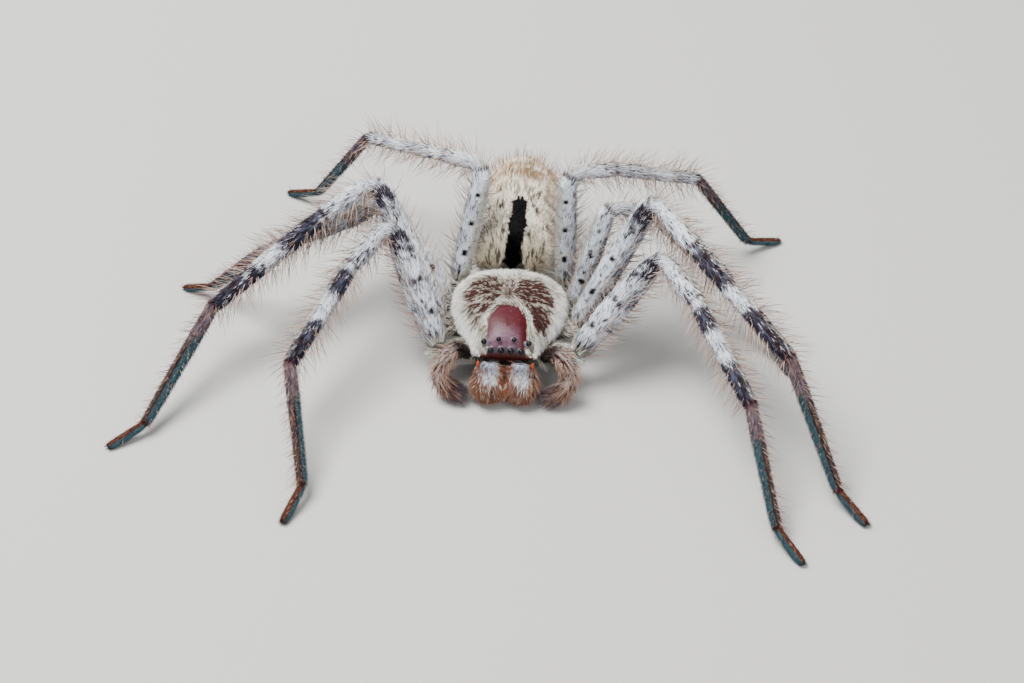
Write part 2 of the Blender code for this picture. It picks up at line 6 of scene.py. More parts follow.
import bpy
import numpy as np
from mathutils import Matrix, Vector


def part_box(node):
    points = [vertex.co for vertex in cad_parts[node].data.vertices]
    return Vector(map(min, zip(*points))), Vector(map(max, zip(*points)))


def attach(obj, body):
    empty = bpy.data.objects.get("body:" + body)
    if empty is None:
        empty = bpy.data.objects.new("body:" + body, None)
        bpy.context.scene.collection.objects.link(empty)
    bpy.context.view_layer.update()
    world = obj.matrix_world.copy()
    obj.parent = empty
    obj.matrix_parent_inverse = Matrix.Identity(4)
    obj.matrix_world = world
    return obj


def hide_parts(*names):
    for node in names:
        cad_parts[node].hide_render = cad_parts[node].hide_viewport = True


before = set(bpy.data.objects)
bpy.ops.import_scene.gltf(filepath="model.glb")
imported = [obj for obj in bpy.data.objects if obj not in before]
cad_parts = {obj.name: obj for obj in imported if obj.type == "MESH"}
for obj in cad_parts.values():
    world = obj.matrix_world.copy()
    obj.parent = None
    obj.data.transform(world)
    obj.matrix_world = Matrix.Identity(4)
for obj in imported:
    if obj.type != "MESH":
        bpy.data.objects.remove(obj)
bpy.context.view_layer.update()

MM = 0.001
SEED = 7
FULL_TURN = 2 * math.pi
SIDES = (("L", 1), ("R", -1))
EVERY = slice(None)
# How deep a hair starts under its root, and the half width of its patch in the OFBake map.
ROOT_SINK = 0.12
PATCH_HALF = 0.0015
# Long bristles are rounder than flat hair and bend in three steps.
BRISTLE = {"levels": 3, "flat": 0.9}

# Leg tables, with the same sizes as in the solids.
LEG_BASE = {1: (9.5, -7.2, 4.9), 2: (9.4, -1.9, 5.2), 3: (8.9, 2.5, 5.0), 4: (7.45, 6.5, 4.9)}
LEG_LENGTH = {
    1: (17.2, 8.2, 16.8, 16.6, 5.9),
    2: (20.5, 8.4, 20.0, 18.6, 5.9),
    3: (16.0, 6.8, 12.8, 12.4, 4.9),
    4: (17.0, 6.7, 14.5, 15.0, 5.6),
}
# Azimuth and pitch in degrees of the first four segments, then the azimuth of the tarsus.
LEG_POSE = {
    "L1": (31, 43, -53, -6, -62, -18, -74, -31, -52),
    "R1": (124, 41, 234, -7, 245, -17, 281, -29, 248),
    "L2": (33, 56, -47, -11, -46, -20, -61, -38, -46),
    "R2": (128, 37, 215, -12, 223, -18, 243, -25, 217),
    "L3": (36, 70, 17, -21, -14, -41, -37, -36, -55),
    "R3": (131, 28, 223, 3, 207, -6, 161, -49, 162),
    "L4": (88, 76, 28, -8, 25, -24, 11, -56, 25),
    "R4": (65, 69, 139, -13, 147, -16, 163, -57, 155),
}
TOE_HEIGHT = 0.25
CORNER_RADIUS = (1.9, 2.6, 2.6, 2.6)
SEGMENTS = ("femur", "patella", "tibia", "metatarsus", "tarsus")
# Girth of each segment: places as shares of its length, then each pair's radii at them.
GIRTHS = (
    ((0.0, 0.1, 0.35, 0.7, 0.92, 1.0), {
        1: (1.3, 1.6, 1.93, 1.78, 1.5, 1.4),
        2: (1.2, 1.45, 1.7, 1.66, 1.5, 1.4),
        3: (1.1, 1.28, 1.43, 1.4, 1.25, 1.15),
        4: (1.15, 1.33, 1.5, 1.45, 1.28, 1.2),
    }),
    ((0.0, 0.3, 0.75, 1.0), {
        1: (1.2, 1.3, 1.4, 1.15),
        2: (1.2, 1.32, 1.45, 1.2),
        3: (1.0, 1.1, 1.2, 1.0),
        4: (1.0, 1.1, 1.2, 1.0),
    }),
    ((0.0, 0.12, 0.5, 0.9, 1.0), {
        1: (1.12, 1.28, 1.2, 1.05, 0.92),
        2: (1.15, 1.35, 1.25, 1.08, 0.95),
        3: (0.95, 1.08, 1.0, 0.9, 0.8),
        4: (0.92, 1.05, 0.98, 0.9, 0.8),
    }),
    ((0.0, 0.12, 0.5, 0.92, 1.0), {
        1: (0.85, 0.95, 0.88, 0.8, 0.7),
        2: (0.88, 0.98, 0.92, 0.82, 0.72),
        3: (0.74, 0.8, 0.75, 0.7, 0.62),
        4: (0.74, 0.8, 0.75, 0.7, 0.62),
    }),
    ((0.0, 0.2, 0.75, 0.93, 1.0), {
        1: (0.6, 0.68, 0.7, 0.62, 0.42),
        2: (0.6, 0.68, 0.7, 0.62, 0.42),
        3: (0.54, 0.6, 0.62, 0.56, 0.4),
        4: (0.54, 0.6, 0.62, 0.56, 0.4),
    }),
)
# Carapace sections: y, half width, height of the top, height of the margin.
CARAPACE = np.array((
    (-10.45, 3.1, 6.85, 6.45),
    (-10.25, 3.8, 7.15, 6.3),
    (-9.7, 4.25, 7.75, 6.0),
    (-8.9, 4.45, 8.55, 5.65),
    (-7.6, 4.75, 9.2, 5.35),
    (-6.0, 5.5, 9.6, 5.2),
    (-4.0, 6.65, 9.75, 5.1),
    (-1.8, 7.5, 9.75, 5.05),
    (0.6, 7.8, 9.6, 5.05),
    (2.6, 7.65, 9.2, 5.1),
    (4.2, 7.1, 8.55, 5.2),
    (5.4, 6.2, 7.7, 5.35),
    (6.2, 4.9, 6.9, 5.5),
    (6.6, 3.6, 6.35, 5.7),
))
# How far the abdomen's middle moves to the spider's left for each millimetre toward the rear.
ABDOMEN_LEAN = 0.045
# Abdomen sections: y, half width, half height, height of the middle.
ABDOMEN = np.array((
    (6.95, 2.5, 1.6, 6.6),
    (7.1, 3.8, 2.5, 7.1),
    (7.5, 4.8, 3.45, 7.6),
    (8.4, 5.35, 4.2, 8.0),
    (10.2, 5.65, 4.8, 8.35),
    (13.5, 5.75, 5.2, 8.6),
    (17.0, 5.8, 5.35, 8.65),
    (20.4, 5.7, 5.25, 8.55),
    (23.0, 5.2, 4.85, 8.3),
    (25.0, 4.35, 4.15, 7.95),
    (26.5, 3.2, 3.1, 7.5),
    (27.4, 2.0, 2.0, 7.1),
    (27.7, 1.2, 1.2, 6.9),
))
# Chelicera sections on the left side: height, middle x, middle y, half width, half depth.
CHELICERA = np.array((
    (1.45, 2.3, -12.35, 1.2, 1.0),
    (1.85, 2.3, -12.2, 1.75, 1.45),
    (2.5, 2.25, -11.95, 2.05, 1.72),
    (3.4, 2.25, -11.7, 2.08, 1.75),
    (4.3, 2.2, -11.5, 2.03, 1.45),
    (5.1, 2.15, -11.45, 1.93, 1.0),
    (5.6, 2.12, -11.45, 1.78, 0.68),
    (6.05, 2.1, -11.35, 1.5, 0.56),
    (6.25, 2.1, -11.3, 1.05, 0.4),
))
# Points and radii down the left palp and fang: x, y, z, radius.
PALP = np.array((
    (5.3, -8.5, 4.9, 0.8),
    (6.0, -9.0, 5.9, 0.95),
    (6.85, -9.6, 6.75, 1.0),
    (7.8, -10.3, 6.3, 1.02),
    (8.6, -10.95, 5.2, 0.98),
    (8.95, -11.3, 4.1, 1.02),
    (8.6, -11.8, 2.9, 1.05),
    (7.7, -12.3, 1.9, 0.9),
    (6.7, -12.6, 1.35, 0.55),
))
FANG = np.array((
    (3.3, -12.75, 0.8, 0.4),
    (2.6, -13.05, 0.74, 0.4),
    (1.8, -13.15, 0.7, 0.33),
    (1.0, -13.05, 0.68, 0.25),
    (0.35, -12.85, 0.7, 0.12),
))
# Eyes on the left side: x, y, radius.
EYES = {
    "AME": (0.66, -10.02, 0.42),
    "ALE": (2.02, -10.0, 0.4),
    "PME": (1.02, -8.95, 0.33),
    "PLE": (2.9, -8.95, 0.4),
}

# Camera fitted to the photo, in the body frame.
CAMERA_AZIMUTH = 1.43
CAMERA_ELEVATION = 43.95
CAMERA_DISTANCE = 362.9
CAMERA_TARGET = (0.65, -4.63, 4.0)
CAMERA_ROLL = 1.93
CAMERA_FIELD = 22.0

# Floor and soft studio light, in metres and watts: lamp's name, place, size, power.
FLOOR_HALF = 3.0
FLOOR_COLOUR = (0.45, 0.44, 0.42, 1)
SKY_COLOUR = (0.9, 0.94, 1.0, 1)
SKY_STRENGTH = 0.62
LAMPS = (
    ("key", (-0.2, 0.06, 0.5), 0.3, 8.2),
    ("fill", (0.3, -0.4, 0.3), 0.4, 1.8),
)

low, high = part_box("carapace")
SHIFT = np.array((
    (low.x + high.x) / 2 / MM,
    (low.y + high.y) / 2 / MM - (CARAPACE[0, 0] + CARAPACE[-1, 0]) / 2,
    0.0,
))


def srgb(red, green, blue):
    # The pigment that shows as this display colour under the studio light and the film curve.
    value = np.array((red, green, blue)) / 255.0
    value = np.where(value <= 0.04045, value / 12.92, ((value + 0.055) / 1.055) ** 2.4)
    tone = float(value @ (0.21, 0.72, 0.07))
    share = min(max((tone - 0.22) / 0.42, 0.0), 1.0)
    return np.clip(value * (0.46 + 0.64 * share * share * (3 - 2 * share)), 0.0, 0.92)


ICE = srgb(224, 229, 255)
ICE_SHADE = srgb(136, 138, 162)
ICE_DARK = srgb(80, 78, 96)
OLIVE = srgb(182, 172, 134)
KNEE = srgb(70, 60, 82)
DASH = srgb(52, 38, 48)
MAROON = srgb(86, 34, 38)
BLACK = srgb(22, 18, 20)
BAND = srgb(62, 44, 54)
BAND_BLUE = srgb(58, 62, 92)
BAND_BROWN = srgb(92, 54, 46)
BAND_PALE = srgb(124, 128, 156)
PINK_GREY = srgb(146, 118, 118)
LEG_BROWN = srgb(112, 88, 72)
LEG_PURPLE = srgb(104, 88, 98)
RUST = srgb(122, 72, 52)
RUST_DARK = srgb(64, 36, 32)
TEAL = srgb(84, 118, 128)
TEAL_DARK = srgb(46, 66, 78)
SETA = srgb(190, 142, 114)
SETA_DARK = srgb(88, 64, 60)
CREAM = srgb(250, 240, 232)
CREAM_GREY = srgb(184, 172, 150)
CARAPACE_BROWN = srgb(84, 46, 38)
CARAPACE_SKIN = srgb(88, 20, 24)
CARAPACE_RED = srgb(102, 18, 22)
CEPHALIC = srgb(100, 34, 44)
CEPHALIC_PAINTED_REFLECTION = srgb(132, 96, 114)
CEPHALIC_RED = srgb(88, 16, 20)
CEPHALIC_PIT = srgb(84, 10, 14)
CEPHALIC_SEAM = srgb(150, 110, 128)
EYE_MOUND = srgb(124, 132, 150)
EYE_ROW = srgb(64, 54, 68) * 0.7
TAN = srgb(196, 162, 122)
BROWN = srgb(112, 86, 58)
BROWN_DARK = srgb(74, 54, 38)
ABDOMEN_CREAM = srgb(255, 223, 202)
ABDOMEN_WHITE = srgb(255, 235, 220)
CLYPEUS = srgb(84, 32, 28)
ORANGE = srgb(214, 84, 24)
FANG_RED = srgb(116, 26, 16)
JAW_WHITE = srgb(238, 246, 255)
JAW_CROWN = srgb(150, 166, 188)
JAW_SKIN = srgb(84, 42, 34)
JAW_RUST = srgb(168, 104, 76)
JAW_PINK = srgb(196, 154, 130)
JAW_DARK = srgb(84, 48, 38)
JAW_ORANGE = srgb(196, 120, 78)
PALP_SKIN = srgb(104, 66, 60)
PALP_PALE = srgb(196, 178, 172)
PALP_BROWN = srgb(128, 84, 70)
PALP_BLUE = srgb(60, 74, 94)


def unit(v):
    return v / np.linalg.norm(v, axis=-1, keepdims=True)


def mix(a, b, t):
    # Colour a turned into colour b by a share t.
    t = np.clip(np.asarray(t, float), 0.0, 1.0)[..., None]
    return a * (1 - t) + b * t


def step(low_edge, high_edge, value):
    # Rises smoothly from 0 to 1 between two edges.
    t = np.clip((value - low_edge) / (high_edge - low_edge), 0.0, 1.0)
    return t * t * (3 - 2 * t)


def fall(low_edge, high_edge, value):
    # Falls smoothly from 1 to 0 between two edges.
    return 1 - step(low_edge, high_edge, value)


def curve(places, values, t):
    # A smooth curve through values at places, read at an array of places t.
    xs = np.asarray(places, float)
    ys = np.asarray(values, float)
    k = np.arange(len(xs))
    before = np.maximum(k - 1, 0)
    after = np.minimum(k + 1, len(xs) - 1)
    slopes = (ys[after] - ys[before]) / (xs[after] - xs[before])
    t = np.clip(t, xs[0], xs[-1])
    i = np.clip(np.searchsorted(xs, t, side="right") - 1, 0, len(xs) - 2)
    h = xs[i + 1] - xs[i]
    u = (t - xs[i]) / h
    return (
        (2 * u**3 - 3 * u**2 + 1) * ys[i]
        + (u**3 - 2 * u**2 + u) * h * slopes[i]
        + (-2 * u**3 + 3 * u**2) * ys[i + 1]
        + (u**3 - u**2) * h * slopes[i + 1]
    )


def sections(table, t):
    # Each column of a table of sections, read smoothly at places t of its first column.
    return [curve(table[:, 0], table[:, c], t) for c in range(1, table.shape[1])]


def follow(t, places, rows):
    # Rows of points or directions given at places, read at places t.
    return np.stack([np.interp(t, places, rows[:, c]) for c in range(3)], axis=1)


def carry(tangents, back):
    # A direction square to each tangent, carried along a line without twist.
    backs = np.zeros_like(tangents)
    for i, tangent in enumerate(tangents):
        back = unit(back - tangent * (back @ tangent))
        backs[i] = back
    return backs


def grid(rows, columns):
    # Every pair of a row value and a column value, as two flat arrays.
    return [g.ravel() for g in np.meshgrid(rows, columns, indexing="ij")]


def circle(count):
    return np.linspace(0, FULL_TURN, count, endpoint=False)


WAVE_COUNT = 14


def waves(points, size, seed):
    # Smooth blotches between about -1 and 1, size apart, from a sum of turned waves.
    rng = np.random.default_rng(SEED + seed)
    total = np.zeros(len(points))
    for _ in range(WAVE_COUNT):
        aim = rng.normal(size=3)
        aim /= np.linalg.norm(aim)
        pace = FULL_TURN / size * rng.uniform(0.6, 1.5)
        total += np.sin(points @ aim * pace + rng.uniform(0, 6.283))
    return total / math.sqrt(WAVE_COUNT / 2) / 1.6


def strokes(along, across, length, width, seed):
    # One chance number for each long thin cell, so that neighbouring hairs share a tone.
    column = np.floor(across / width + 0.35 * np.sin(along / length * 1.7 + across / width * 0.3))
    shift = np.sin(column * 91.7 + seed * 3.1) * 7345.1
    row = np.floor(along / length + shift - np.floor(shift))
    value = np.sin(column * 12.9898 + row * 78.233 + seed * 1.7) * 43758.5453
    return value - np.floor(value)


def spread(count, seed):
    # Evenly scattered pairs of numbers from 0 to 1.
    i = np.arange(count) + seed * 977.0
    return (0.5 + i[:, None] * (0.7548776662466927, 0.5698402909980532)) % 1.0


# Materials.
def feed(tree, node, inputs):
    # Sets a node's inputs by name, or links those that are given as sockets.
    for name, value in inputs.items():
        if isinstance(value, bpy.types.NodeSocket):
            tree.links.new(value, node.inputs[name])
        else:
            node.inputs[name].default_value = value


def add_node(tree, kind, inputs):
    node = tree.nodes.new("ShaderNode" + kind)
    feed(tree, node, inputs)
    return node


def new_material(name):
    # A material, its node tree and its shader.
    mat = bpy.data.materials.new(name)
    mat.use_nodes = True
    return mat, mat.node_tree, mat.node_tree.nodes["Principled BSDF"]


def add_noise(tree, scale, detail):
    place = add_node(tree, "TexCoord", {}).outputs["Object"]
    noise = add_node(tree, "TexNoise", {"Vector": place, "Scale": scale, "Detail": detail})
    return noise.outputs["Fac"]


def add_range(tree, value, to_low, to_high, from_low=0.0, from_high=1.0):
    node = add_node(tree, "MapRange", {
        "Value": value,
        "From Min": from_low,
        "From Max": from_high,
        "To Min": to_low,
        "To Max": to_high,
    })
    return node.outputs["Result"]


def add_ramp(tree, value, places, colours):
    ramp = add_node(tree, "ValToRGB", {"Fac": value})
    for element, place, colour in zip(ramp.color_ramp.elements, places, colours):
        element.position = place
        element.color = (*colour, 1)
    return ramp.outputs["Color"]


def add_bump(tree, height, strength):
    node = add_node(tree, "Bump", {"Height": height, "Strength": strength, "Distance": 0.0001})
    return node.outputs["Normal"]


def painted_material(name, roughness, speckle, bump, specular, coat=0.0, scale=2400.0):
    # Colour from the vertices, broken up by a fine noise that also drives bump and roughness.
    mat, tree, shader = new_material(name)
    paint = add_node(tree, "Attribute", {})
    paint.attribute_name = "Col"
    noise = add_noise(tree, scale, 3.0)
    tint = add_node(tree, "VectorMath", {})
    tint.operation = "SCALE"
    feed(tree, tint, {
        "Vector": paint.outputs["Color"],
        "Scale": add_range(tree, noise, 1.0 - speckle, 1.0 + speckle, 0.3, 0.7),
    })
    sheen = add_range(tree, paint.outputs["Fac"], specular * 0.35, specular, 0.0, 0.3)
    feed(tree, shader, {
        "Base Color": tint.outputs["Vector"],
        "Roughness": add_range(tree, noise, roughness - 0.08, roughness + 0.08),
        "Specular IOR Level": sheen,
        "Coat Weight": coat,
        "Coat Roughness": 0.2,
    })
    if bump:
        feed(tree, shader, {"Normal": add_bump(tree, noise, bump)})
    return mat


def cuticle_material(name, dark, pale):
    # Two tones of bare cuticle in a fine noise that also drives bump.
    mat, tree, shader = new_material(name)
    noise = add_noise(tree, 1400.0, 4.0)
    feed(tree, shader, {
        "Base Color": add_ramp(tree, noise, (0.35, 0.7), (dark, pale)),
        "Roughness": 0.6,
        "Normal": add_bump(tree, noise, 0.5),
    })
    return mat


def eye_material():
    mat, tree, shader = new_material("eye")
    noise = add_noise(tree, 900.0, 2.0)
    blacks = ((0.001, 0.001, 0.0015), (0.004, 0.005, 0.008))
    feed(tree, shader, {
        "Base Color": add_ramp(tree, noise, (0.0, 1.0), blacks),
        "Roughness": 0.06,
        "Specular IOR Level": 0.25,
    })
    return mat


HAIR = painted_material("hair", roughness=0.55, speckle=0.1, bump=0.0, specular=0.12)
SKIN = painted_material("haired_skin", roughness=0.65, speckle=0.2, bump=0.6, specular=0.25)
SHINY_SKIN = painted_material("bare_skin", roughness=0.4, speckle=0.14, bump=0.3, specular=0.45,
                              scale=1500.0)
GLOSS = painted_material("polished_horn", roughness=0.28, speckle=0.08, bump=0.1, specular=0.5,
                         coat=0.3, scale=1500.0)
EYE = eye_material()


# Meshes from arrays.
def make_mesh(name, verts, faces, colours, mat, uvs=None, smooth=True):
    mesh = bpy.data.meshes.new(name)
    sizes = np.concatenate([np.full(len(f), f.shape[1]) for f in faces])
    loops = np.concatenate([f.ravel() for f in faces]).astype(np.int32)
    starts = np.concatenate([[0], np.cumsum(sizes)[:-1]]).astype(np.int32)
    mesh.vertices.add(len(verts))
    mesh.vertices.foreach_set("co", ((verts + SHIFT) * MM).astype(np.float32).ravel())
    mesh.loops.add(len(loops))
    mesh.loops.foreach_set("vertex_index", loops)
    mesh.polygons.add(len(sizes))
    mesh.polygons.foreach_set("loop_start", starts)
    mesh.polygons.foreach_set("use_smooth", np.full(len(sizes), smooth))
    paint = mesh.color_attributes.new("Col", "FLOAT_COLOR", "POINT")
    full = np.ones((len(verts), 4), np.float32)
    full[:, :3] = colours
    paint.data.foreach_set("color", full.ravel())
    if uvs is not None:
        layer = mesh.uv_layers.new(name="OFBake")
        layer.data.foreach_set("uv", uvs[loops].astype(np.float32).ravel())
    mesh.update(calc_edges=True)
    mesh.validate()
    obj = bpy.data.objects.new(name, mesh)
    bpy.context.scene.collection.objects.link(obj)
    mesh.materials.append(mat)
    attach(obj, "root")
    return obj


def tube_mesh(rings):
    # Points and faces of a closed tube, its ends drawn to their middles.
    rows, columns, _ = rings.shape
    verts = np.concatenate([rings.reshape(-1, 3), rings[:1].mean(axis=1), rings[-1:].mean(axis=1)])
    r, c = grid(np.arange(rows - 1), np.arange(columns))
    here = r * columns + c
    beside = r * columns + (c + 1) % columns
    quads = np.stack([here, beside, beside + columns, here + columns], axis=-1)
    c = np.arange(columns)
    after = (c + 1) % columns
    first = rows * columns
    last = (rows - 1) * columns
    start = np.stack([np.full(columns, first), after, c], axis=-1)
    end = np.stack([np.full(columns, first + 1), last + c, last + after], axis=-1)
    return verts, [quads, start, end]


def capped(colours, first, last):
    # Colours of a tube's points, then of the two points that its ends are drawn to.
    return np.concatenate([colours.reshape(-1, 3), [first, last]])


def grow(name, slot, hairs, keep=EVERY, bend=0.1, levels=1, flat=0.36):
    # Tapered three sided blades, from roots along aims, bending from the normal toward the aim.
    # Each blade's patch of the OFBake map is at its root's place in the unwrap of the skin.
    roots, normals, aims, lengths, widths, colours, places = (values[keep] for values in hairs)
    across = unit(np.cross(aims, normals))
    lift = unit(np.cross(across, aims))
    shares = np.linspace(0, 1, levels + 1)
    along = []
    for share in shares:
        curl = lift * (bend * share**2 * 0.5)
        sunk = roots - normals * ROOT_SINK * (1 - share)
        along.append(sunk + (aims * share - curl) * lengths[:, None])
    taper = 1.0 - 0.75 * shares[:-1] ** 1.5
    rings = []
    for k in range(levels):
        half = (widths * 0.5 * taper[k])[:, None]
        middle = along[k]
        rings += [middle - across * half, middle + across * half, middle + lift * half * 2 * flat]
    verts = np.stack(rings + [along[-1]], axis=1)
    size = 3 * levels + 1
    base = (np.arange(len(roots)) * size)[:, None]
    top = 3 * (levels - 1)
    triangles = [(2, 1, 0)] + [(top + s, top + (s + 1) % 3, size - 1) for s in range(3)]
    faces = [np.concatenate([base + np.array(f) for f in triangles])]
    quads = []
    for k in range(0, top, 3):
        quads += [(k + s, k + (s + 1) % 3, k + 3 + (s + 1) % 3, k + 3 + s) for s in range(3)]
    if quads:
        faces.append(np.concatenate([base + np.array(f) for f in quads]))
    paint = np.repeat(colours, size, axis=0)
    corner = np.array([(-1, -1), (1, -1), (0, 1)]) * PATCH_HALF
    spots = np.concatenate([np.tile(corner, (levels, 1)), [(0, 0)]])
    uvs = (places[:, None] * 0.99 + 0.005 + spots[None]).reshape(-1, 2)
    make_mesh(name, verts.reshape(-1, 3), faces, paint, HAIR, uvs, smooth=False)


# Directions of hair.
def flatten(wish, normals):
    # What is left of a wished direction along the skin.
    return wish - normals * np.sum(wish * normals, axis=1, keepdims=True)


def stand(along, normals, degrees, stray=0.0):
    # Aims that stand off the skin by degrees from a direction along it.
    lifts = np.radians(degrees)[:, None]
    return unit(np.cos(lifts) * along + np.sin(lifts) * normals + stray)


def face_out(normals, away):
    # Normals turned round where they don't point away from the inside.
    return np.where((normals * away).sum(1, keepdims=True) < 0, -normals, normals)


def clear_floor(lengths, roots, aims, gap):
    # Lengths cut so that hair that aims down ends a gap above the floor.
    return np.minimum(lengths, (roots[:, 2] - gap) / np.maximum(-aims[:, 2], 0.05))


def surface_sample(function, ranges, count, seed):
    # Evenly spread points on a surface of two parameters: first parameter, points, normals
    # and the pairs of numbers from 0 to 1 that stand for the parameters.
    pairs = spread(count * 4, seed)
    u, v = (first + pairs[:, c] * (last - first) for c, (first, last) in enumerate(ranges))
    eps = 0.01
    du = (function(u + eps, v) - function(u - eps, v)) / (2 * eps)
    dv = (function(u, v + eps) - function(u, v - eps)) / (2 * eps)
    cross = np.cross(du, dv)
    total = np.cumsum(np.linalg.norm(cross, axis=1))
    picks = np.searchsorted(total, (np.arange(count) + 0.5) / count * total[-1])
    order = np.unique(picks)
    return u[order], function(u[order], v[order]), unit(cross[order]), pairs[order]


# Legs: width against height, the least height over the floor, depths under the solid's
# surface of the skin and of the roots of hair, then how fine the skin's mesh is.
LEG_FLATNESS = 0.96
FLOOR_GAP = 0.02
LEG_SKIN_DEPTH = 0.12
LEG_ROOT_DEPTH = 0.14
LEG_SKIN_STEP = 0.33
LEG_SKIN_COLUMNS = 22
CORNER_STEPS = 12


def heading(azimuth, pitch):
    # Direction of a leg segment from its angles in degrees.
    a = math.radians(azimuth)
    e = math.radians(pitch)
    return np.array((math.cos(e) * math.cos(a), math.cos(e) * math.sin(a), math.sin(e)))


def leg_joints(leg):
    # The six ends of a leg's five segments; the tarsus comes down to the toe's height.
    pair = int(leg[1])
    side = 1 if leg[0] == "L" else -1
    pose = LEG_POSE[leg]
    joints = [np.array(LEG_BASE[pair]) * (side, 1, 1)]
    for k in range(4):
        joints.append(joints[-1] + heading(pose[2 * k], pose[2 * k + 1]) * LEG_LENGTH[pair][k])
    reach = LEG_LENGTH[pair][4]
    pitch = math.degrees(math.asin((TOE_HEIGHT - joints[-1][2]) / reach))
    joints.append(joints[-1] + heading(pose[8], pitch) * reach)
    return joints


def corner_at(points, k):
    # Directions before and after a corner of a line, and half the angle between them.
    before = unit(points[k] - points[k - 1])
    after = unit(points[k + 1] - points[k])
    return before, after, 0.5 * math.acos(float(np.clip(before @ after, -1, 1)))


def leg_path(joints):
    # Centreline with rounded corners, how far along it each point is, and each joint.
    corners = [joints[0]]
    for k, radius in enumerate(CORNER_RADIUS, 1):
        before, after, half = corner_at(joints, k)
        corners.append(joints[k] - unit(after - before) * (radius * (1 / math.cos(half) - 1)))
    corners.append(joints[5])
    points = [joints[0]]
    marks = [0]
    for k, radius in enumerate(CORNER_RADIUS, 1):
        before, after, half = corner_at(corners, k)
        inward = unit(after - before)
        axis = unit(before + after)
        middle = corners[k] + inward * radius / math.cos(half)
        marks.append(len(points) + CORNER_STEPS // 2)
        for s in range(CORNER_STEPS + 1):
            turn = half * (2 * s / CORNER_STEPS - 1)
            points.append(middle + radius * (axis * math.sin(turn) - inward * math.cos(turn)))
    points.append(joints[5])
    marks.append(len(points) - 1)
    points = np.array(points)
    along = np.concatenate([[0], np.cumsum(np.linalg.norm(np.diff(points, axis=0), axis=1))])
    return points, along, along[marks]


class Leg:
    # One leg's centreline, sampled each 0.2: places along it, points, tangents and backs.
    def __init__(self, name):
        self.name = name
        self.pair = int(name[1])
        joints = leg_joints(name)
        points, along, self.marks = leg_path(joints)
        femur = unit(joints[1] - joints[0])
        tibia = unit(joints[3] - joints[2])
        count = int(along[-1] / 0.2)
        self.places = np.linspace(0, along[-1], count)
        self.path = follow(self.places, along, points)
        self.tangents = unit(np.gradient(self.path, axis=0))
        self.backs = carry(self.tangents, unit(femur - tibia))
        thigh = count // 8
        side = np.cross(self.tangents[thigh], self.backs[thigh])
        toward_front = np.cross(femur, tibia) * (-1 if name[0] == "L" else 1)
        self.front = 1 if side @ toward_front > 0 else -1

    def split(self, places):
        # The segment that each place is on, and the share of its length.
        k = np.clip(np.searchsorted(self.marks, places, side="right") - 1, 0, 4)
        return k, (places - self.marks[k]) / (self.marks[k + 1] - self.marks[k])

    def girth(self, places):
        k, f = self.split(places)
        out = np.zeros(len(places))
        for part, (shares, radii) in enumerate(GIRTHS):
            pick = k == part
            out[pick] = curve(shares, radii[self.pair], f[pick])
        return out

    def surface(self, places, angles, depth):
        # Point, outward normal and tangent; angles are from the back, positive to the front.
        point, tangent, back = (
            follow(places, self.places, rows) for rows in (self.path, self.tangents, self.backs)
        )
        tangent = unit(tangent)
        back = unit(flatten(back, tangent))
        side = np.cross(tangent, back)
        turn = (angles * self.front)[:, None]
        across = np.cos(turn) * back + LEG_FLATNESS * np.sin(turn) * side
        spot = point + across * (self.girth(places) - depth)[:, None]
        spot[:, 2] = np.maximum(spot[:, 2], FLOOR_GAP + depth * 0.3)
        return spot, unit(np.cos(turn) * back + np.sin(turn) * side), tangent


LEGS = {name: Leg(name) for name in LEG_POSE}

# Black spots along the thigh: share of its length, radius. Their angle from the back by pair.
THIGH_SPOTS = ((0.28, 0.52), (0.55, 0.46), (0.8, 0.36))
SPOT_ANGLE = {1: 1.45, 2: 1.5, 3: 1.43, 4: 1.0}
DASH_SITES = {1: 90, 2: 56, 3: 30, 4: 26}
# Dark bands of the tibia: where the first starts and ends and the second starts.
TIBIA_BANDS = {
    1: ((0.02, 0.13), (0.25, 0.37), (0.54, 0.66)),
    2: ((-0.04, 0.08), (0.32, 0.44), (0.51, 0.63)),
    3: ((0.1, 0.2), (0.3, 0.42), (0.7, 0.8)),
    4: ((0.1, 0.2), (0.3, 0.42), (0.7, 0.8)),
}


def thigh_spots(leg, places, angles, margin=0.0):
    # 1 inside the thigh's black spots, or within a margin of them.
    hit = np.zeros(len(places))
    girth = leg.girth(np.clip(places, 0, leg.marks[5]))
    for share, radius in THIGH_SPOTS:
        away = np.hypot(places - share * leg.marks[1], (angles - SPOT_ANGLE[leg.pair]) * girth)
        hit = np.maximum(hit, fall(radius + margin - 0.07, radius + margin + 0.07, away))
    return hit


def tibia_bands(pair, f, angle, spots):
    # Share of dark hair on the tibia and its colour.
    wave = f + 0.025 * spots
    start, end, second = TIBIA_BANDS[pair]
    band = np.maximum(step(*start, wave) * fall(*end, wave), step(*second, wave))
    if pair > 2:
        return 0.1 + 0.28 * band, np.repeat(DASH[None], len(f), axis=0)
    band *= 1 - 0.35 * fall(0.3, 0.7, np.abs(angle))
    tone = mix(BAND, BAND_BLUE, 0.85 * step(0.9, 1.6, np.abs(angle)) * step(-0.5, 0.6, spots))
    brown = fall(0.9, 1.7, np.abs(angle - 0.6)) * step(0.0, 0.9, -spots)
    tone = mix(tone, BAND_BROWN, 0.75 * brown)
    grain = strokes(f * 18, angle * 0.9, 0.9, 0.16, 6)
    tone = mix(tone, BAND_PALE, (grain > 0.74) * 0.75)
    tone = mix(tone, BLACK, (grain < 0.3) * 0.5)
    return 0.1 + 0.84 * band, tone


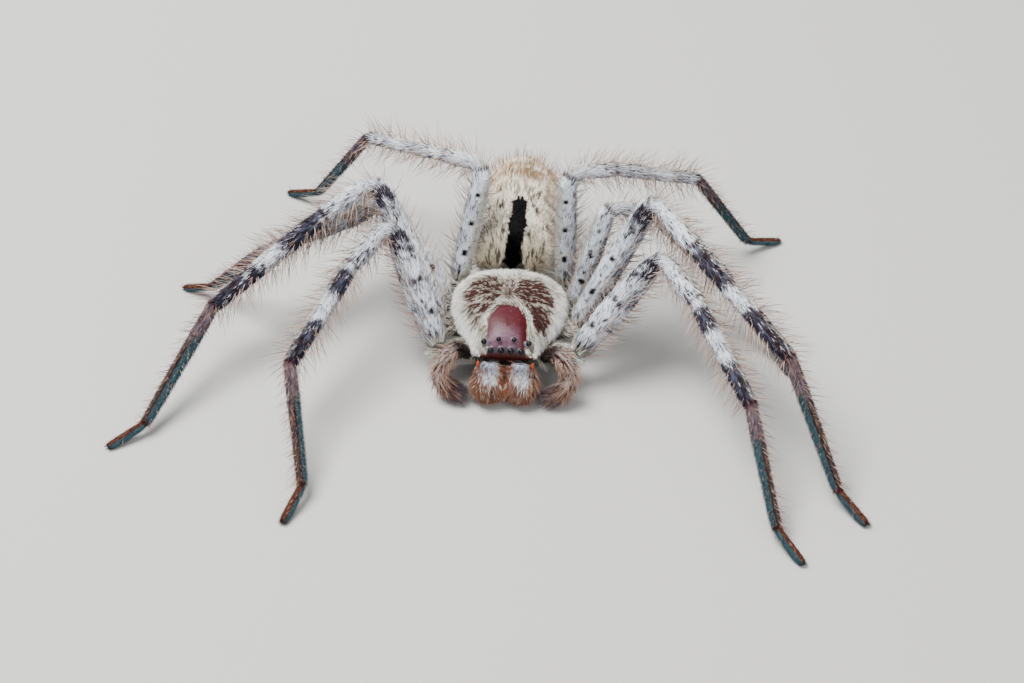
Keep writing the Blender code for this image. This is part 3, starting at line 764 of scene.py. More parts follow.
def near_dashes(leg, places, angles):
    # 1 on the small dark dashes that dot the thigh and knee.
    rng = np.random.default_rng(SEED + 20 + leg.pair)
    total = DASH_SITES[leg.pair]
    at = rng.uniform(0.8, leg.marks[2], total)
    turn = rng.uniform(-math.pi, math.pi, total)
    turn[: total // 2] = rng.uniform(0.4, 2.2, total // 2)
    reach = rng.uniform(0.25, 0.5, total)
    hit = np.zeros(len(places))
    for k in range(total):
        away = np.abs((angles - turn[k] + math.pi) % FULL_TURN - math.pi) * 1.5
        ratio = np.hypot((places - at[k]) / reach[k], away / 0.15)
        hit = np.maximum(hit, fall(0.8, 1.15, ratio))
    return hit


def foot_colours(leg, k, f, angles, spots, rng):
    # Metatarsus and tarsus: brown above, teal brushes below and in front.
    count = len(f)
    streak = 0.75 * strokes(f * 15, angles * 0.9, 0.9, 0.16, 5) + 0.25 * rng.random(count)
    upper = mix(PINK_GREY, LEG_BROWN, step(0.15, 0.45, f + 0.05 * spots))
    if leg.pair > 2:
        upper = mix(upper, LEG_PURPLE, 0.65)
    upper = mix(upper, ICE_SHADE, (streak < 0.3 * fall(0.2, 0.5, f)) * 0.75)
    upper = mix(upper, JAW_PINK, (streak > 0.84) * 0.6)
    upper = mix(upper, KNEE, ((streak > 0.36) & (streak < 0.62)) * 0.8)
    edge = 1.4 if leg.name[0] == "R" else 1.0
    line = fall(0.1, 0.28, np.abs(angles - edge + 0.2))
    upper = mix(upper, RUST_DARK, line * step(0.25, 0.4, f) * 0.9)
    front = step(edge - 0.1, edge + 0.1, angles)
    rear = step(1.8, 2.1, -angles)
    brush = mix(TEAL, TEAL_DARK, (rng.random(count) < 0.3) * 0.9)
    start = 0.22 if leg.pair < 3 else 0.35
    beyond = step(start, start + 0.1, f + 0.03 * spots)
    metatarsus = mix(upper, brush, np.maximum(front, rear) * beyond)
    tarsus = mix(RUST, RUST_DARK, (streak < 0.4) * 0.85)
    tarsus = mix(tarsus, JAW_PINK, (streak > 0.85) * 0.5)
    tarsus = mix(tarsus, brush, np.maximum(step(edge, edge + 0.3, angles), step(1.5, 1.8, -angles)))
    tarsus = mix(tarsus, BLACK, step(0.88, 0.98, f) * 0.5)
    return np.where((k == 3)[:, None], metatarsus, tarsus)


def leg_colours(leg, places, angles, points, rng, for_skin):
    # Colours of the skin or of hair: pale, with a chance of dark for each place.
    k, f = leg.split(places)
    pair = leg.pair
    spots = waves(points, 1.5, 11 + pair)
    broad = waves(points, 5.0, 31 + pair)
    count = len(places)
    ventral = step(1.9, 2.5, np.abs(angles))
    rear = step(0.6, 1.2, -angles)
    # The ventral and rear sides are turned toward ICE_SHADE: painted shade.
    pale = mix(ICE, ICE_SHADE, 0.12 + 0.2 * broad + 0.45 * ventral + 0.25 * rear)
    if pair > 2:
        pale = mix(pale, PINK_GREY, np.where(k == 0, 0.0, 0.25))
    dorsal = fall(0.3, 0.75, np.abs(angles - 0.1))
    pale = mix(pale, mix(OLIVE, CREAM, 0.35), 0.85 * dorsal * (k <= 2))
    pale = mix(pale, OLIVE, 0.8 * fall(0.8, 2.2, places))
    dark = np.repeat(DASH[None], count, axis=0)
    chance = np.where(k == 0, 0.04, 0.08)
    if pair < 3:
        knee = step(0.68, 0.9, f + 0.04 * spots) * step(0.55, 1.05, angles) * (angles < 2.9)
        knee = (k == 0) * knee * fall(0.97, 0.99, f)
        chance = np.maximum(chance, knee * 0.85)
        dark = mix(dark, KNEE, (k == 0) * 0.8)
    tibia = k == 2
    share, tone = tibia_bands(pair, f, angles, spots)
    chance = np.where(tibia, share, chance)
    dark = np.where((tibia & (share > 0.3))[:, None], tone, dark)
    chance = np.maximum(chance, near_dashes(leg, places, angles) * (k < 2) * 0.85)
    # The skin is painted darker than the hair over it: painted shade between the hairs.
    if for_skin:
        colour = mix(pale * 0.7, dark * 0.8, np.clip(chance, 0, 1))
    else:
        lane = 0.7 * strokes(places, angles * 1.4, 0.7, 0.11, pair) + 0.3 * rng.random(count)
        blend = 0.7 * strokes(places + 0.5, angles * 1.4, 0.7, 0.12, pair + 10) + 0.3 * rng.random(count)
        # Dark strokes are dark hair; their larger share on the ventral and rear sides is painted shade.
        share = 0.26 + 0.12 * ventral + 0.07 * rear - 0.06 * dorsal + 0.05 * broad
        pale = mix(pale, ICE, np.clip((lane - 0.5) * 3.0, 0, 0.9) * (1 - 0.5 * dorsal))
        pale = mix(pale, mix(ICE_DARK, PINK_GREY, 0.5 * (blend > 0.6)), (lane < share) * 0.9)
        loose = rng.random(count)
        if pair < 3:
            blend = np.where(knee > 0.02, 0.3 * blend + 0.7 * loose, blend)
        dark = mix(dark, BLACK, (loose > 0.7) * 0.5)
        colour = mix(pale, dark, blend < np.clip(chance * (1 + 0.2 * spots), 0, 1))
    colour = np.where((k > 2)[:, None], foot_colours(leg, k, f, angles, spots, rng), colour)
    tip_spot = (k == 0) * step(0.9, 0.93, f) * fall(0.25, 0.6, np.abs(angles - 0.35))
    colour = mix(colour, ICE, tip_spot * 0.8)
    colour = mix(colour, MAROON, fall(0.12, 0.3, joint_gap(leg, places)) * 0.9)
    colour = mix(colour, BLACK, thigh_spots(leg, places, angles))
    if leg.name == "L1":
        # A bare red line runs along this thigh.
        mask = (k == 0) * fall(0.07, 0.16, np.abs(angles - 0.5) * 1.7)
        colour = mix(colour, MAROON, mask * step(0.05, 0.12, f) * fall(0.7, 0.8, f))
    return colour


def joint_gap(leg, places):
    # How far each place is from the nearest joint.
    return np.min(np.abs(places[:, None] - leg.marks[None, 1:5]), axis=1)


def leg_skin(leg):
    rows = int(leg.marks[5] / LEG_SKIN_STEP)
    columns = LEG_SKIN_COLUMNS
    places = np.concatenate([[0.06, 0.14, 0.24], np.linspace(0.36, leg.marks[5] - 0.05, rows - 3)])
    p, a = grid(places, np.linspace(-math.pi, math.pi, columns, endpoint=False))
    # The skin is pinched at the joints and closes in a dome at its start.
    groove = 0.12 * fall(0.05, 0.45, joint_gap(leg, p))
    start = np.clip(1 - p / 0.9, 0, 1)
    cap = leg.girth(p) * (1 - np.sqrt(np.clip(1 - start**2, 0.02, 1)))
    depth = LEG_SKIN_DEPTH + groove * np.where(np.abs(a) > 1.6, 1.5, 1.0) + cap * 0.8
    spot = leg.surface(p, a, depth)[0]
    rng = np.random.default_rng(SEED + 50)
    colour = leg_colours(leg, p, a, spot, rng, True).reshape(rows, columns, 3)
    rings = spot.reshape(rows, columns, 3)
    if leg.front < 0:
        rings = rings[:, ::-1]
        colour = colour[:, ::-1]
    verts, faces = tube_mesh(rings)
    colour = capped(colour, colour[0, 0], colour[-1, 0])
    obj = make_mesh("skin_leg_" + leg.name, verts, faces, colour, SKIN)
    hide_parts(*["leg_%s_%s" % (leg.name, part) for part in SEGMENTS])


# Flat hairs and bristles tried for a leg of each pair, then values for its five segments:
# lengths, widths, degrees off the skin, shares of the bristles that are kept, their lengths.
FLAT_HAIRS = {1: 19800, 2: 22500, 3: 13200, 4: 14800}
LONG_HAIRS = {1: 1800, 2: 2080, 3: 1280, 4: 1520}
HAIR_LENGTHS = np.array((1.0, 0.95, 0.95, 0.8, 0.55))
HAIR_WIDTHS = np.array((0.135, 0.135, 0.125, 0.12, 0.105))
HAIR_LIFTS = np.array((13, 14, 15, 18, 20))
BRISTLE_SHARES = np.array((0.62, 0.75, 0.95, 0.85, 0.15))
BRISTLE_LENGTHS = np.array((2.9, 3.1, 3.5, 2.2, 0.9))


def pick_places(leg, count, seed):
    # Places and angles spread evenly over a leg's surface, and where they are in its unwrap.
    pairs = spread(count, seed)
    fine = np.linspace(0.2, leg.marks[5] - 0.05, 600)
    weight = np.cumsum(leg.girth(fine))
    weight = (weight - weight[0]) / (weight[-1] - weight[0])
    places = np.interp(pairs[:, 0], weight, fine)
    angles = (pairs[:, 1] - 0.5) * FULL_TURN
    return places, angles, np.stack([places / leg.marks[5], pairs[:, 1]], axis=1)


def leg_coat(leg):
    rng = np.random.default_rng(SEED + 100 + leg.pair)
    places, angles, home = pick_places(leg, FLAT_HAIRS[leg.pair], 1)
    k, f = leg.split(places)
    count = len(k)
    roots, normals, tangents = leg.surface(places, angles, LEG_ROOT_DEPTH)
    lengths = HAIR_LENGTHS[k] * rng.uniform(0.7, 1.3, count)
    widths = HAIR_WIDTHS[k] * rng.uniform(0.75, 1.25, count)
    lengths *= 1 - 0.55 * thigh_spots(leg, places + 0.4, angles, 0.4)
    base = fall(0.8, 2.6, places)
    lengths *= 1 + 0.35 * base
    lifts = HAIR_LIFTS[k] + 12 * base + rng.normal(0, 4, count)
    # The brushes of the foot are short velvet that stands up.
    velvet = ((k == 4) | ((k == 3) & (f > 0.25))) & ((angles > 1.0) | (angles < -1.7))
    lengths = np.where(velvet, 0.45, lengths)
    lifts = np.where(velvet, 50, lifts)
    lengths = np.minimum(lengths, leg.marks[5] - places + 0.45)
    seen = np.minimum(places + lengths * 0.55, leg.marks[5] - 0.02)
    middles = roots + tangents * (lengths * 0.55)[:, None]
    colours = leg_colours(leg, seen, angles, middles, rng, False)
    across = np.cross(tangents, normals)
    sway = (rng.normal(0, 0.09, count) + 0.1 * waves(roots, 2.0, 45))[:, None]
    aims = stand(tangents + across * sway, normals, lifts)
    tips = roots + aims * lengths[:, None]
    keep = (tips[:, 2] > FLOOR_GAP) & (places < leg.marks[5])
    hairs = (roots, normals, aims, lengths, widths, colours, home)
    grow("coat_leg_" + leg.name, "leg_grey", hairs, keep)


def leg_bristles(leg):
    rng = np.random.default_rng(SEED + 200 + leg.pair)
    places, angles, home = pick_places(leg, LONG_HAIRS[leg.pair], 5)
    places = np.clip(places + rng.normal(0, 0.3, len(places)), 0.3, leg.marks[5] - 0.3)
    angles = angles + rng.normal(0, 0.1, len(angles))
    k, f = leg.split(places)
    turn = (angles + math.pi) % FULL_TURN - math.pi
    front = fall(0.55, 0.95, np.abs(turn - 1.2))
    wish = BRISTLE_SHARES[k] * (1 - 0.85 * front * (k < 3))
    wish = np.where((k == 0) & (np.abs(turn) < 0.8), wish * 0.45, wish)
    keep = rng.random(len(k)) < wish
    places, angles, home, k, f, front = [a[keep] for a in (places, angles, home, k, f, front)]
    count = len(k)
    roots, normals, tangents = leg.surface(places, angles, LEG_ROOT_DEPTH)
    lengths = BRISTLE_LENGTHS[k] * rng.uniform(0.55, 1.35, count)
    if leg.pair == 3:
        lengths *= 0.9
    lengths = np.where((k == 3) & (f > 0.4), lengths * 0.8, lengths)
    lengths = np.where((k == 3) & ((angles > 0.9) | (angles < -1.9)), lengths * 0.4, lengths)
    lifts = rng.normal(62, 9, count)
    sway = rng.normal(0, 0.22, count)[:, None]
    aims = stand(tangents, normals, lifts, np.cross(tangents, normals) * sway)
    tips = roots + aims * lengths[:, None]
    colours = mix(SETA, SETA_DARK, (rng.random(count) < 0.22) * rng.uniform(0.5, 1.0, count))
    colours = mix(colours, CREAM, rng.random(count) * 0.3)
    colours = mix(colours, PINK_GREY, 0.7 * front)
    widths = np.full(count, 0.08) * rng.uniform(0.8, 1.2, count)
    hairs = (roots, normals, aims, lengths, widths, colours, home)
    grow("bristles_leg_" + leg.name, "leg_grey", hairs, tips[:, 2] > 0.1, bend=0.4, **BRISTLE)


# Carapace.
CARAPACE_HAIRS = 45000
CARAPACE_ROWS = 150
CARAPACE_COLUMNS = 97
CARAPACE_UNDER_COLUMNS = 13
CARAPACE_DEPTH = 0.12
CARAPACE_ROOT_DEPTH = 0.14
# Height of an eye's seat over the carapace, how far its middle stands over the seat as a
# share of its radius, and how far it is sunk.
EYE_SEAT_HEIGHT = 0.28
EYE_RISE = math.sin(math.radians(26))
EYE_SINK = 0.12
# The smooth bare patch behind the eyes: y, half width.
BARE_PATCH = np.array((
    (-9.7, 2.4),
    (-8.6, 2.8),
    (-7.0, 2.75),
    (-5.5, 2.6),
    (-4.6, 2.25),
    (-3.7, 1.6),
    (-3.1, 0.8),
))


def carapace_rise(share):
    # Share of the carapace's height over its margin, at a share of its half width.
    return np.maximum(1 - share**2.3, 0) ** 0.62


def carapace_point(y, angle, grow_by):
    # Points of the carapace's upper side, moved out by grow_by; angle is 0 on the left rim.
    half, top, margin = sections(CARAPACE, y)
    across = np.cos(angle)
    x = (half + grow_by) * across
    z = margin + (top + grow_by - margin) * carapace_rise(np.abs(across))
    return np.stack([x, y, z], axis=-1)


def carapace_height(x, y):
    half, top, margin = (row[0] for row in sections(CARAPACE, np.array([y])))
    return margin + (top - margin) * carapace_rise(min(abs(x) / half, 1.0))


def eye_seats():
    # Each eye's name, side, place on the skin, outward direction and radius.
    seats = []
    eps = 0.05
    for name, (x, y, radius) in EYES.items():
        slope_x = (carapace_height(x + eps, y) - carapace_height(x - eps, y)) / (2 * eps)
        slope_y = (carapace_height(x, y + eps) - carapace_height(x, y - eps)) / (2 * eps)
        normal = unit(np.array((-slope_x, -slope_y, 1.0)))
        base = np.array((x, y, carapace_height(x, y))) + normal * EYE_SEAT_HEIGHT
        for letter, side in SIDES:
            seats.append((name, letter, base * (side, 1, 1), normal * (side, 1, 1), radius))
    return seats


SEATS = eye_seats()


def patch_edge(x, y):
    # How far inside the bare patch a place is, negative outside it.
    half = np.interp(y, BARE_PATCH[:, 0], BARE_PATCH[:, 1])
    return np.minimum(half - np.abs(x), -3.0 - y)


def carapace_pattern(points):
    # Shares of bare patch, dark mottle and pale ring on the carapace.
    x = points[:, 0]
    y = points[:, 1]
    side = np.abs(x)
    fine = waves(points, 0.75, 61)
    blot = waves(points, 2.4, 62)
    edge = patch_edge(x, y) + 0.12 * fine
    bare = step(-0.12, 0.15, edge) * step(-9.85, -9.6, y)
    ring = step(-1.15, -0.9, edge) * fall(-0.35, -0.15, edge) * step(-7.0, -6.0, y)
    ragged = 0.12 * blot + 0.08 * fine
    rear = fall(0.72, 1.14, np.hypot((side - 3.4) / 3.0, (y + 0.4) / 4.2) + ragged)
    front = fall(0.5, 1.15, np.hypot((side - 4.2) / 1.8, (y + 4.0) / 2.7) + ragged)
    front = np.where(x < 0, front * 0.5, front * 0.95)
    rear = np.where(x < 0, rear * 0.85, rear)
    streak = np.abs(y + 2.75 - 0.32 * (side - 2.2))
    pale = fall(0.12, 0.4, streak) * step(1.6, 2.2, side)
    median = 0.45 * fall(0.5, 0.95, side) * fall(2.2, 3.4, y) * step(-2.4, -1.8, y)
    turn = np.arctan2(side, y + 1.2)
    rays = 0.5 + 0.5 * np.sin(turn * 15.0 + 1.2 * blot)
    dark = np.maximum(np.maximum(rear * (0.75 + 0.25 * rays), front), median)
    dark = dark * (1 - 0.85 * ring) * (1 - 0.7 * pale)
    dark = np.clip(dark * (0.95 + 0.35 * fine), 0, 1) * (1 - bare)
    mark = fall(0.7, 1.2, np.hypot(x / 0.16, (y + 0.9) / 0.5))
    return bare, np.maximum(dark, mark), ring


def carapace_skin_colour(points):
    bare, dark, _ = carapace_pattern(points)
    x = points[:, 0]
    y = points[:, 1]
    fine = waves(points, 0.5, 64)
    # The skin under the hair is painted darker than the hair, pale and dark parts alike: painted shade
    # between the hairs.
    shaded = mix(CARAPACE_SKIN * 0.5, BROWN_DARK * 0.3, 0.3 + 0.4 * fine)
    colour = mix(CREAM_GREY * 0.5, shaded, 0.25 + 0.9 * dark)
    # The front of the bare patch is lightened toward mauve, less on the spider's left: a painted
    # reflection of the sky.
    gloss = mix(CEPHALIC, CEPHALIC_PAINTED_REFLECTION, fall(-8.7, -6.2, y) * (1 - 0.6 * step(1.6, 2.5, x)))
    pit = fall(0.5, 1.3, np.hypot(x / 0.3, (y + 6.6) / 0.75))
    gloss = mix(gloss, CEPHALIC_PIT, pit * 0.9)
    seam = fall(0.05, 0.18, np.abs(np.abs(x) - 0.15 - 0.12 * np.maximum(-7.2 - y, 0)))
    gloss = mix(gloss, CEPHALIC_SEAM, seam * 0.4 * fall(-7.4, -6.8, y))
    edge = fall(0.1, 0.7, patch_edge(x, y))
    gloss = mix(gloss, CEPHALIC_RED, 0.85 * step(1.2, 2.3, x) + 0.4 * edge)
    gloss = mix(gloss, CARAPACE_SKIN, 0.15 + 0.2 * fine)
    colour = mix(colour, gloss, bare)
    front_row = fall(-9.75, -9.5, y) * fall(2.5, 2.9, np.abs(x))
    colour = mix(colour, EYE_ROW, front_row * 0.9)
    return mix(colour, CLYPEUS, fall(-10.2, -9.95, y))


def raise_eyes(points, normals, colour):
    # Lifts the skin into a low mound under each eye and paints the mound and its ring.
    lift = np.zeros(len(points))
    mound = np.zeros(len(points))
    for name, _, base, _, radius in SEATS:
        away = np.linalg.norm(points - base, axis=1)
        height, share = (0.5, 0.9) if name == "PLE" else (0.3, 0.45)
        lift = np.maximum(lift, height * fall(radius * 0.7, radius * 2.0, away))
        mound = np.maximum(mound, fall(radius * 1.1, radius * 1.9, away) * share)
    colour = mix(colour, EYE_MOUND, mound)
    for name, letter, base, _, radius in SEATS:
        away = np.linalg.norm(points - base, axis=1)
        if name in ("PME", "PLE"):
            side = 1 if letter == "L" else -1
            turned = 0.8 if name == "PME" else -0.6
            lean = (points - base) @ unit(np.array((side * turned, -0.6, -0.2))) / radius
            near = fall(radius * 1.3, radius * 1.8, away)
            colour = mix(colour, ICE_SHADE, near * step(0.3, 0.8, lean) * 0.9)
        else:
            ring = fall(radius * 1.1, radius * 1.7, away)
            colour = mix(colour, CLYPEUS * 0.4, ring * 0.85)
    return points + normals * lift[:, None], colour


def carapace_skin():
    ys = np.linspace(CARAPACE[0, 0] + 0.1, CARAPACE[-1, 0] - 0.08, CARAPACE_ROWS)
    # The first and last angle stay off the rim, where the surface has no slope to take.
    y, a = grid(ys, np.linspace(0.004, math.pi - 0.004, CARAPACE_COLUMNS))
    eps = 0.01
    spot = carapace_point(y, a, -CARAPACE_DEPTH)
    du = carapace_point(y + eps, a, -CARAPACE_DEPTH) - carapace_point(y - eps, a, -CARAPACE_DEPTH)
    dv = carapace_point(y, a + eps, -CARAPACE_DEPTH) - carapace_point(y, a - eps, -CARAPACE_DEPTH)
    normal = unit(np.cross(du, dv))
    normal = np.where(normal[:, 2:3] < 0, -normal, normal)
    spot, colour = raise_eyes(spot, normal, carapace_skin_colour(spot))
    top = spot.reshape(CARAPACE_ROWS, CARAPACE_COLUMNS, 3)
    # The closed underside follows the rim a little lower.
    shares = np.linspace(-1, 1, CARAPACE_UNDER_COLUMNS + 2)[None, 1:-1]
    half, _, margin = (row[:, None] for row in sections(CARAPACE, ys))
    under = np.stack([
        (half - CARAPACE_DEPTH) * shares,
        np.repeat(ys[:, None], CARAPACE_UNDER_COLUMNS, axis=1),
        margin - 0.25 - 0.22 * (1 - np.abs(shares)),
    ], axis=-1)
    verts, faces = tube_mesh(np.concatenate([top, under], axis=1))
    paint = np.concatenate([colour.reshape(top.shape), np.broadcast_to(CLYPEUS, under.shape)], axis=1)
    paint = capped(paint, CLYPEUS, CREAM_GREY)
    obj = make_mesh("skin_carapace", verts, faces, paint, SHINY_SKIN)
    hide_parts("carapace")


def carapace_coat():
    rng = np.random.default_rng(SEED + 400)
    y, roots, normals, home = surface_sample(
        lambda u, v: carapace_point(u, v, -CARAPACE_ROOT_DEPTH),
        ((-10.12, 6.5), (0.02, math.pi - 0.02)),
        CARAPACE_HAIRS, 3,
    )
    normals = face_out(normals, roots - (0, -1, 5))
    bare, dark, ring = carapace_pattern(roots)
    count = len(y)
    x = roots[:, 0]
    keep = rng.random(count) > bare * 0.993
    keep &= rng.random(count) > dark * 0.3
    for _, _, base, _, radius in SEATS:
        keep &= np.linalg.norm(roots - base, axis=1) > radius * 1.4
    # The face between the front eyes is bare.
    keep &= (y > -9.5) | (np.abs(x) > 2.6)
    rear = step(3.4, 5.6, y)
    rim = np.maximum(step(0.7, 0.95, np.abs(x) / sections(CARAPACE, y)[0]), rear)
    # Hair runs out from the middle, and toward the face in front.
    outward = unit(np.stack([x, y + 1.0, np.zeros(count)], axis=1) + 1e-6)
    wish = outward + np.array((0.0, -1.0, 0.0)) * (0.9 * (1 - rear))[:, None]
    wish += rng.normal(0, 1, wish.shape) * (0.2 + 0.25 * dark)[:, None]
    aims = stand(unit(flatten(wish, normals)), normals, 16 + 13 * rim + rng.normal(0, 6, count))
    lengths = (0.78 + 0.3 * rim - 0.2 * dark) * rng.uniform(0.6, 1.3, count)
    lengths *= (1 - 0.3 * (y < -8.3) - 0.3 * (y < -9.6)) * (1 - 0.5 * bare)
    widths = (0.102 - 0.022 * dark) * rng.uniform(0.75, 1.25, count)
    seen = roots + aims * (lengths * 0.6)[:, None]
    bare, dark, ring = carapace_pattern(seen)
    out = np.hypot(seen[:, 0], seen[:, 1] + 1.0)
    turn = np.arctan2(seen[:, 0], seen[:, 1] + 1.0)
    grain = 0.6 * strokes(out, turn * 4.5, 0.6, 0.16, 21) + 0.4 * rng.random(count)
    lane = 0.6 * strokes(out + 0.4, turn * 4.5, 0.6, 0.16, 22) + 0.4 * rng.random(count)
    middle = (1 - rim) * (1 - 0.7 * ring)
    pale = mix(CREAM, CREAM_GREY, grain * (0.3 + 0.7 * middle))
    pale = mix(pale, OLIVE, 0.6 * middle * rng.random(count))
    pale = mix(pale, CARAPACE_BROWN, (lane < 0.21 + 0.17 * middle) * (0.6 + 0.25 * middle))
    tone = mix(CARAPACE_RED, CARAPACE_BROWN, step(0.42, 0.6, grain))
    tone = mix(tone, BROWN_DARK * 0.6, (grain > 0.66) * 0.8)
    colour = mix(pale, tone, (lane < 0.2 + dark * 0.72) * np.clip(dark * 3, 0, 0.95))
    hairs = (roots, normals, aims, lengths, widths, colour, home)
    grow("coat_carapace", "carapace_fur", hairs, keep)


# Abdomen.
ABDOMEN_HAIRS = 42000
ABDOMEN_FAN_HAIRS = 1500
ABDOMEN_BRISTLES = 2600
ABDOMEN_ROWS = 200
ABDOMEN_COLUMNS = 132
ABDOMEN_CENTRE = (0, 17, 8.4)
ABDOMEN_DEPTH = 0.3
ABDOMEN_ROOT_DEPTH = 0.32
# Black stripe down the middle: y, half width. Then how far it lies to the left: y, shift.
STRIPE = np.array((
    (5.6, 2.0), (6.1, 1.9), (6.5, 1.7), (6.9, 1.3), (7.2, 1.1), (9.2, 1.2),
    (10.0, 1.35), (10.8, 1.15), (12.0, 1.0), (13.2, 1.08), (13.9, 1.0), (14.2, 0.8),
))
STRIPE_SHIFT = np.array(((6.9, 0.1), (9.0, 0.35), (14.0, 0.35)))
# Two thin prongs run on from the stripe's end.
PRONG_END = 14.9
# Dark spots: x, y.
ABDOMEN_SPOTS = ((-1.55, 8.9), (2.1, 8.6), (2.9, 12.8), (-2.3, 13.2), (-2.7, 16.5), (2.9, 16.2))


def abdomen_point(y, angle, grow_by):
    half, high, middle = sections(ABDOMEN, y)
    x = ABDOMEN_LEAN * (y - ABDOMEN[0, 0]) + (half + grow_by) * np.cos(angle)
    return np.stack([x, y, middle + (high + grow_by) * np.sin(angle)], axis=-1)


def abdomen_root(y, angle):
    return abdomen_point(y, angle, -ABDOMEN_ROOT_DEPTH)


def abdomen_pattern(points):
    # Shares of stripe, dark streak and spot on the abdomen, and its broad blotches.
    x = points[:, 0] - ABDOMEN_LEAN * (points[:, 1] - ABDOMEN[0, 0])
    y = points[:, 1]
    upper = points[:, 2] > np.where(y < 8.5, 3.5, 8.2)
    jag = waves(points * (1.6, 2.6, 1.0), 1.4, 71)
    place = y + 0.3 * np.minimum(points[:, 2] - 8.6, 0) * (y < 8.5)
    width = np.interp(place, STRIPE[:, 0], STRIPE[:, 1])
    away = np.abs(x - np.interp(y, STRIPE_SHIFT[:, 0], STRIPE_SHIFT[:, 1]))
    stripe = fall(-0.1, 0.1, away - width * (1 + 0.12 * jag))
    prong = fall(0.08, 0.16, np.abs(away - 0.3) - 0.14 * np.clip(15.0 - y, 0, 1))
    stripe = np.where(y < STRIPE[-1, 0], stripe, prong * (y < PRONG_END)) * upper
    lanes = points * (1.0, 0.2, 1.0)
    lanes[:, 0] += 0.35 * waves(points * (0.4, 1.0, 0.4), 3.0, 74)
    lanes[:, 2] *= 0.2 + 0.8 * step(8.5, 10.5, y)
    streak = fall(0.1, 0.42, np.abs(waves(lanes, 0.95, 72)))
    blot = waves(points, 4.0, 73)
    spots = np.zeros(len(x))
    for spot_x, spot_y in ABDOMEN_SPOTS:
        near = fall(0.2, 0.42, np.hypot(x - spot_x, (y - spot_y) * 0.6))
        spots = np.maximum(spots, near * upper)
    return stripe, streak, blot, spots


def abdomen_colours(points, rng=None):
    # Colours of the skin, or of hair where a source of chance is given.
    stripe, streak, blot, spots = abdomen_pattern(points)
    x, y, z = points.T
    count = len(y)
    rear = step(13.5, 21.0, y)
    share = streak * (0.55 + 0.45 * step(-0.5, 0.4, blot)) * (1 - 0.75 * rear)
    share *= 0.35 + 0.65 * step(7.2, 8.4, y)
    base = mix(ABDOMEN_CREAM, TAN, 0.12 + rear * (0.68 + 0.6 * blot))
    tone = mix(BROWN, BROWN_DARK, 0.35)
    if rng is None:
        # The skin is painted darker than the hair over it: painted shade between the hairs.
        colour = mix(base * 0.5, tone * 0.7, share)
    else:
        dark = rng.random(count) < share * 0.75 + 0.03
        colour = mix(base, tone, dark * rng.uniform(0.7, 1.0, count))
        white = rng.random(count) < 0.4 * (1 - rear) * (1 - share)
        colour = mix(colour, ABDOMEN_WHITE, white * 0.8)
        dome = fall(8.5, 11.0, y)
        lane = strokes(y + z * 0.8 * dome, x + z * 0.7 * (1 - dome) + 0.3 * blot, 1.3, 0.2, 31)
        dark_lane = lane < 0.26 - 0.09 * rear - 0.1 * (y < 7.6)
        colour = mix(colour, mix(BROWN, base, 0.1 + 0.3 * rear), dark_lane * 0.9)
        colour = mix(colour, ABDOMEN_WHITE, (lane > 0.66) * (0.65 - 0.3 * rear))
    colour = mix(colour, BROWN_DARK, spots * 0.9)
    colour = mix(colour, CREAM_GREY, fall(3.0, 4.8, z) * 0.6)
    return mix(colour, BLACK * 0.6, stripe)


def abdomen_skin():
    ys = np.linspace(ABDOMEN[0, 0] + 0.05, ABDOMEN[-1, 0] - 0.05, ABDOMEN_ROWS)
    spot = abdomen_point(*grid(ys, circle(ABDOMEN_COLUMNS)), -ABDOMEN_DEPTH)
    verts, faces = tube_mesh(spot.reshape(ABDOMEN_ROWS, ABDOMEN_COLUMNS, 3))
    colour = capped(abdomen_colours(spot), BLACK * 0.6, BROWN)
    obj = make_mesh("skin_abdomen", verts, faces, colour, SKIN)
    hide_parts("abdomen")


